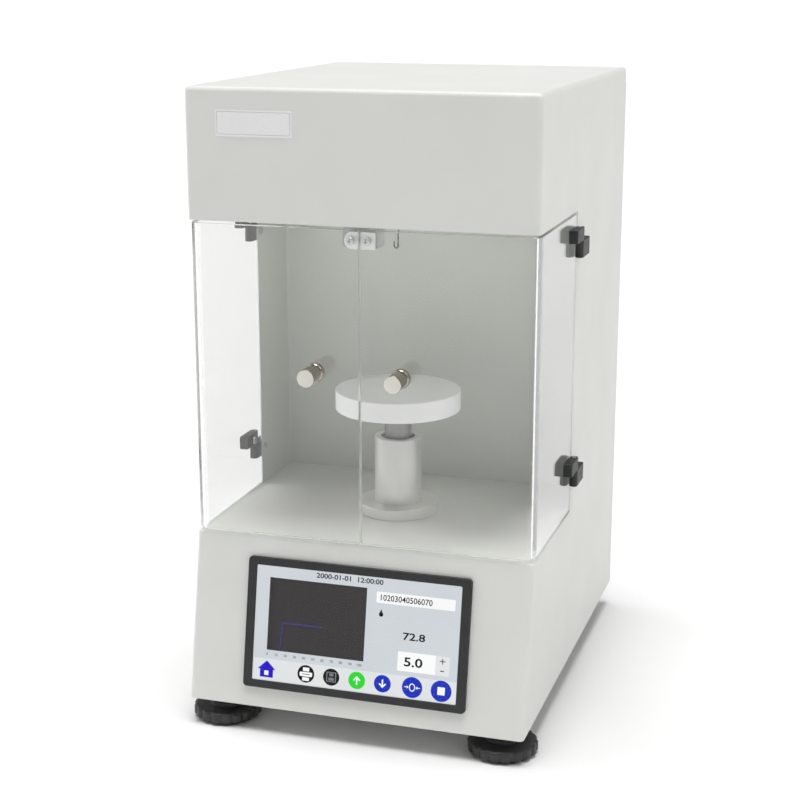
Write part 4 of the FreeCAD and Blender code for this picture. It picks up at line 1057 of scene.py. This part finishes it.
def foot_stud(prefix, body, base, material):
    """A threaded stud, with its ends turned down to the root of the thread."""
    low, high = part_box(prefix + "stud")
    radius = (high.x - low.x) / 2
    around, rows_per_turn, lead = 32, 8, 0.8 * MM
    rows = int((high.z - low.z) / THREAD_PITCH * rows_per_turn)
    rings = []
    for row in range(rows + 1):
        level = low.z + (high.z - low.z) * row / rows
        lead_in = 1 - min(1.0, min(level - low.z, high.z - level) / lead)
        ring = []
        for step in range(around):
            angle = 2 * math.pi * step / around
            turn = (level / THREAD_PITCH - step / around) % 1.0
            flank = min(1.0, max(0.0, 2.6 * abs(turn - 0.5) - 0.15))
            reach = radius - THREAD_DEPTH * max(flank, lead_in)
            ring.append((reach * math.cos(angle), reach * math.sin(angle), level))
        rings.append(ring)
    mesh = loft(rings, False, Matrix.Translation(base))
    piece(prefix + "stud_threaded", mesh, material, body, prefix + "stud", slot="steel")


def rear_feet(material):
    """Tapered rubber feet with a well for a screw."""
    well, well_edge, seat, top_edge = 3.6 * MM, 0.5 * MM, 3.0 * MM, 0.5 * MM
    taper, foot_edge = 2.0 * MM, 1.2 * MM
    mesh = bmesh.new()
    for points in solids_of("rear_feet"):
        low, high = corners_of(points)
        centre = (low + high) / 2
        radius = (high.x - low.x) / 2
        well_top = high.z - seat
        profile = [(SCREW_HOLE, well_top), (well, well_top), (well, well_edge), (well + well_edge, 0)]
        profile += arc(radius - taper - foot_edge, foot_edge, foot_edge, -90, -8, 6)
        profile += arc(radius - top_edge, high.z - top_edge, top_edge, 0, 90, 4)
        profile += [(SCREW_HOLE, high.z)]
        lathe(profile, (centre.x, centre.y, 0), closed=True, mesh=mesh)
    piece("rear_feet_moulded", mesh, material, "casing", "rear_feet", slot="rubber")


# ---- Rear panel ----
def port_place(node):
    """Frame with x across, y up and z out of the rear panel, centred on a port."""
    centre = middle(node)
    return Matrix.Translation((centre.x, rear_y, centre.z)) @ facing_back


def power_inlet(shell_material, pin_material):
    """Mains inlet: a flange with two screws and a recess with three pins."""
    place = port_place("power_inlet")
    low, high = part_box("power_inlet")
    proud, back = high.y - rear_y, low.y - rear_y
    bottom = proud - 14 * MM
    mesh = prism(rounded_rectangle(high.x - low.x, high.z - low.z, 3.5 * MM), 0, proud, place)
    body = prism(rectangle(-13.5, -10, 13.5, 10, 1.0), back, proud / 2, place)
    mesh = cut(soften(mesh, 0.5 * MM, 3, 60), body, "UNION")
    recess = shape_at(((-12, -8), (12, -8), (12, 4.5), (8.5, 8), (-8.5, 8), (-12, 4.5)))
    flare = [(x * 1.04, y * 1.05, proud + 0.2 * MM) for x, y in recess]
    rings = [at_height(recess, bottom), at_height(recess, proud - 0.8 * MM), flare]
    mesh = drilled(cut(mesh, loft(rings, False, place)), "machine_screws")
    piece("power_inlet_moulded", mesh, shell_material, "casing", "power_inlet", slot="black_plastic")
    pins = bmesh.new()
    for across, up in ((-7, -2), (0, 2), (7, -2)):
        outline = rectangle(across - 1, up - 2, across + 1, up + 2)
        pin = prism(outline, bottom - 0.5 * MM, bottom + 8 * MM, place)
        merged(pins, soften(pin, 0.35 * MM))
    piece("power_inlet_pins", pins, pin_material, "casing", slot="steel")


def power_rocker(material, mark_material):
    """Rocker with a dished face, a bar mark and a ring mark."""
    low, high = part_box("power_rocker")
    pivot_radius, pivot_spare, pivot_edge = 1.0 * MM, 0.5 * MM, 0.2 * MM
    half = (high.x - low.x) / 2 - pivot_spare
    centre = Vector(((low.x + high.x) / 2, rear_y - 1.0 * MM, middle("switch_frame").z))
    place = Matrix.Translation(centre) @ Matrix.Rotation(math.radians(-8), 4, "X")
    reach, dish, front, back = 7.4 * MM, 1.4 * MM, 2.2 * MM, 3.0 * MM
    steps = 12

    def face_at(up):
        return front + dish * (up / reach) ** 2

    outline = [(face_at(reach * n / steps), reach * n / steps) for n in range(-steps, steps + 1)]
    outline += [(0, reach), (-back, reach / 2), (-back, -reach / 2), (0, -reach)]
    mesh = loft([[(x, y, z) for y, z in outline] for x in (-half, half)], False, place)
    length = 2 * (half + pivot_spare)
    profile = rims(pivot_radius, 0, length, pivot_edge, pivot_edge, 3, 3)
    profile = [(0, 0)] + profile + [(0, length)]
    pivot = lathe(profile, centre - X_AXIS * (half + pivot_spare), X_AXIS, 32)
    mesh = cut(soften(mesh, 0.3 * MM, 3, 35), pivot, "UNION")
    piece("power_rocker_moulded", mesh, material, "rocker", "power_rocker", slot="black_plastic")
    mark_up, mark_depth, sunk = 4.2 * MM, 0.1 * MM, 0.02 * MM

    def mark_place(up):
        lean = math.atan(2 * dish * up / reach ** 2)
        spot = Matrix.Translation((0, face_at(up) - sunk, up)) @ Matrix.Rotation(-lean, 4, "X")
        return place @ spot @ facing_back

    marks = prism(rectangle(-0.3, -1.4, 0.3, 1.4), 0, mark_depth, mark_place(mark_up))
    outer, inner = circle(1.4 * MM, 40), circle(0.95 * MM, 40)
    border(outer, inner, 0, mark_depth, mark_place(-mark_up), mesh=marks)
    piece("power_rocker_marks", marks, mark_material, "rocker", slot="label_white")


def serial_port(shell_material, insert_material, pin_material):
    """Nine-pin connector: a flange, a D-shaped shell round an insert, and two jack posts."""
    low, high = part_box("serial_port")
    place = port_place("serial_port")
    back, reach = low.y - rear_y, high.y - rear_y
    flange, shell_wall, edge = 1.0 * MM, 0.5 * MM, 0.2 * MM
    post_across, pin_step, pin_length = 12.0 * MM, 2.77 * MM, 5 * MM

    def d_shape(grow):
        points = shape_at(((-8.5, 4.25), (-7.3, -4.25), (7.3, -4.25), (8.5, 4.25)))
        return [(x + math.copysign(grow, x), y + math.copysign(grow, y)) for x, y in points]

    mesh = prism(rounded_rectangle(high.x - low.x, high.z - low.z, 1.5 * MM), 0, flange, place)
    shell = border(d_shape(0), d_shape(-shell_wall), flange / 2, reach, place)
    mesh = cut(soften(mesh, edge, 2, 60), soften(shell, edge, 3), "UNION")
    mesh = cut(mesh, prism(d_shape(-0.2 * MM), back, flange / 2, place), "UNION")
    for side in (-1, 1):
        spot = (side * post_across, 0)
        post = prism(circle(2.3 * MM, 6, spot), flange / 2, reach - 0.6 * MM, place)
        mesh = cut(mesh, soften(post, edge), "UNION")
        mesh = cut(mesh, prism(circle(1.1 * MM, 32, spot), reach - 4 * MM, reach + MM, place))
    piece("serial_port_shell", mesh, shell_material, "casing", "serial_port", slot="steel")
    insert = prism(d_shape(-0.55 * MM), flange * 0.9, flange + 0.8 * MM, place)
    piece("serial_port_insert", insert, insert_material, "casing", slot="black_plastic")
    pin = [(0, 0)] + rims(0.5 * MM, 0, pin_length, 0.1 * MM, 0.4 * MM, 4, 4) + [(0, pin_length)]
    pins = bmesh.new()
    for count, up in ((5, 1.42 * MM), (4, -1.42 * MM)):
        for number in range(count):
            across = (number - (count - 1) / 2) * pin_step
            lathe(pin, place @ Vector((across, up, flange)), Y_AXIS, 20, mesh=pins)
    piece("serial_port_pins", pins, pin_material, "casing", slot="brass")


def weighing_hook(material):
    """One bent wire: an eye, a stem and a small open hook."""
    low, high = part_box("weighing_hook")
    centre_y = (low.y + high.y) / 2
    wire, eye, bend, tip = 0.6 * MM, 2.1 * MM, 1.5 * MM, 3.0 * MM
    eye_z = high.z - wire - eye
    bend_z = low.z + wire + bend
    # From the eye's open end round to its foot, then down the stem and round the hook.
    path = arc(0, eye_z, eye, -50, 225, 24)
    foot = ((-0.85, -2.05), (-0.38, -2.62), (-0.1, -3.25), (0, -4.0))
    path += [(x * MM, eye_z + z * MM) for x, z in foot]
    path += [(0, bend_z + 2 * MM)] + arc(-bend, bend_z, bend, 0, -180, 14)
    path += [(-2 * bend, bend_z + tip)]
    rings = []
    for number, (x, z) in enumerate(path):
        before = Vector(path[max(number - 1, 0)])
        after = Vector(path[min(number + 1, len(path) - 1)])
        ahead = (after - before).normalized()
        side = Vector((-ahead.y, 0, ahead.x))
        spot = Vector((x, centre_y, z))
        rings.append([spot + side * out + Y_AXIS * along for out, along in circle(wire, 16)])
    last = rings[-1]
    for rise, share in ((0.3, 0.87), (0.5, 0.5)):
        rings.append([spot + Z_AXIS * rise * wire + (point - spot) * share for point in last])
    piece("weighing_hook_wire", loft(rings), material, "hook", "weighing_hook", slot="steel")


# ---- Build ----
casing_coat = powder_coat("casing_powder_coat", srgb(224, 225, 220))
chamber_coat = powder_coat("chamber_powder_coat", srgb(214, 216, 210), 0.45)
acrylic = clear_sheet("acrylic_sheet", (0.995, 0.996, 0.993), 0.01, 1.49)
acrylic_edge = polished_edge("acrylic_edge", (0.88, 0.89, 0.88))
cover_glass = clear_sheet("cover_glass", (0.985, 0.99, 0.99), 0.003, 1.12)  # anti-glare
hinge_plastic = moulded_plastic("hinge_plastic", srgb(33, 35, 34))
port_plastic = moulded_plastic("port_plastic", srgb(34, 34, 35), 0.45, 0.3 * MM)
foot_plastic = moulded_plastic("foot_plastic", srgb(40, 41, 41), 0.4, 0.7 * MM)
bezel_plastic = moulded_plastic("bezel_plastic", srgb(33, 34, 35), 0.42, 0.3 * MM)
zinc = plain_metal("zinc_plate", (0.62, 0.63, 0.62), 0.32)
bright_steel = plain_metal("bright_steel", (0.58, 0.58, 0.57), 0.24, (1, 1, 6))
dark_steel = plain_metal("dark_steel", (0.30, 0.30, 0.30), 0.3)
strike_nickel = powder_coat("strike_nickel", srgb(246, 247, 244), 0.3)
brass = plain_metal("brass", (0.72, 0.53, 0.24), 0.28)
milled = plain_metal("milled_aluminium", (0.72, 0.72, 0.71), 0.36, (6, 1, 1))
magnet_nickel = plain_metal("magnet_nickel", (0.66, 0.65, 0.62), 0.2)
motor_paint = moulded_plastic("motor_paint", srgb(38, 38, 39), 0.4, 0.4 * MM)
foot_rubber = rubber("foot_rubber")
board_green = circuit_board("circuit_board")
label_white = powder_coat("label_white", srgb(238, 238, 238), 0.3)
label_rule = moulded_plastic("label_rule", srgb(150, 152, 154), 0.4)
white_mark = moulded_plastic("white_mark", srgb(228, 228, 225))
catch_grey = moulded_plastic("catch_grey", srgb(172, 174, 169))
disc_white = powder_coat("disc_white", srgb(244, 245, 243), 0.38)
satin_aluminium = turned_bar("satin_aluminium", (0.93, 0.925, 0.90), 0.34, 0.75)
shaft_steel = turned_metal("shaft_steel", (0.46, 0.46, 0.45), 0.34, middle("stage_disc"))
sintered_bronze = plain_metal("sintered_bronze", (0.34, 0.31, 0.27), 0.5)

dress(casing_coat, "base_plate", "base_front_panel", "head_front_panel", "top_cover")
dress(casing_coat, "right_side_panel", "left_side_panel", "rear_panel", "chamber_floor")
dress(chamber_coat, "chamber_liner", "chamber_ceiling")
dress(cover_glass, "touch_glass")
dress(lit("display_face", srgb(208, 213, 218)), "lcd_panel")
dress(port_plastic, "switch_frame")
dress(catch_grey, "magnet_catch")
dress(magnet_nickel, "catch_magnets")
dress(bright_steel, "hinge_pins", "shaft_key", "lead_screw", "hanger_rod")
dress(shaft_steel, "stage_shaft")
dress(sintered_bronze, "guide_bush")
dress(zinc, "motor_bracket", "weld_nuts", "display_clamps")
dress(brass, "lift_nut", "board_standoffs")
dress(milled, "load_cell", "load_cell_bracket", "power_supply")
dress(motor_paint, "stepper_motor")
dress(board_green, "display_board", "main_board")

for side, body in ((-1, "left_door"), (1, "right_door")):
    door(side, body, acrylic, acrylic_edge)
    hinge_blocks(body + "_hinge_blocks", body, body + "_screws", hinge_plastic)
    screws(body + "_screws", zinc, body)
    knob(body)
    strike(body, side < 0, strike_nickel)
hinge_blocks("body_hinge_blocks", "casing", "machine_screws", hinge_plastic)
screws("machine_screws", zinc, "casing")
display_bezel(bezel_plastic)
display_symbols()
label_plate(label_white, label_rule)
stage_disc(disc_white)
stage_column(satin_aluminium)
for word in ("left", "right"):
    prefix = "front_" + word + "_foot_"
    centre = middle(prefix + "pad")
    base = (centre.x, centre.y, 0)
    foot_wheel(prefix, word + "_foot_wheel", base, foot_plastic)
    foot_stud(prefix, word + "_foot_wheel", base, zinc)
    foot_pad(prefix, word + "_foot_pad", base, foot_rubber)
rear_feet(foot_rubber)
power_inlet(port_plastic, bright_steel)
power_rocker(port_plastic, white_mark)
serial_port(zinc, port_plastic, brass)
weighing_hook(dark_steel)


# ---- Scene ----
def floor():
    mesh = bmesh.new()
    corners = [(x * FLOOR_REACH, y * FLOOR_REACH, 0) for x, y in ((-1, -1), (1, -1), (1, 1), (-1, 1))]
    mesh.faces.new([mesh.verts.new(corner) for corner in corners])
    made = placed("floor", data_of(mesh, "floor"))
    paper = Finish("floor_paper", (FLOOR_SHADE, FLOOR_SHADE, FLOOR_SHADE), 0.9)
    paper.shade(paper.noise(0.5, 2.0), 0.995, 1.005)
    made.data.materials.append(paper.set("Specular IOR Level", 0.0).material)


def lights():
    for name, azimuth, elevation, strength, width in SUNS:
        data = bpy.data.lights.new(name, "SUN")
        data.energy = strength
        data.angle = math.radians(width)
        turn, rise = math.radians(azimuth), math.radians(elevation)
        level = math.cos(rise)
        source = Vector((level * math.sin(turn), -level * math.cos(turn), math.sin(rise)))
        placed(name, data).rotation_euler = source.to_track_quat("Z", "Y").to_euler()
    world = bpy.data.worlds.new("studio")
    world.use_nodes = True
    nodes, links = world.node_tree.nodes, world.node_tree.links
    background = nodes["Background"]
    background.inputs["Color"].default_value = (1.0, 1.0, 1.0, 1.0)
    parts = nodes.new("ShaderNodeSeparateXYZ")
    links.new(nodes.new("ShaderNodeTexCoord").outputs["Generated"], parts.inputs["Vector"])
    glow = nodes.new("ShaderNodeMapRange")
    glow.inputs["From Max"].default_value = WORLD_FADE
    glow.inputs["To Min"].default_value = WORLD_HORIZON
    glow.inputs["To Max"].default_value = WORLD_ZENITH
    links.new(parts.outputs["Z"], glow.inputs["Value"])
    links.new(glow.outputs["Result"], background.inputs["Strength"])
    bpy.context.scene.world = world


def camera():
    data = bpy.data.cameras.new("camera")
    data.lens = CAMERA_LENS
    data.sensor_width = CAMERA_SENSOR
    data.dof.use_dof = False
    made = placed("camera", data)
    aim = CAMERA_AIM.normalized()
    right = aim.cross(Z_AXIS).normalized()
    up = right.cross(aim)
    turn = Matrix((right, up, -aim)).transposed().to_4x4()
    made.matrix_world = Matrix.Translation(CAMERA_PLACE) @ turn
    bpy.context.scene.camera = made


floor()
lights()
camera()
bpy.context.scene.view_settings.view_transform = "Standard"
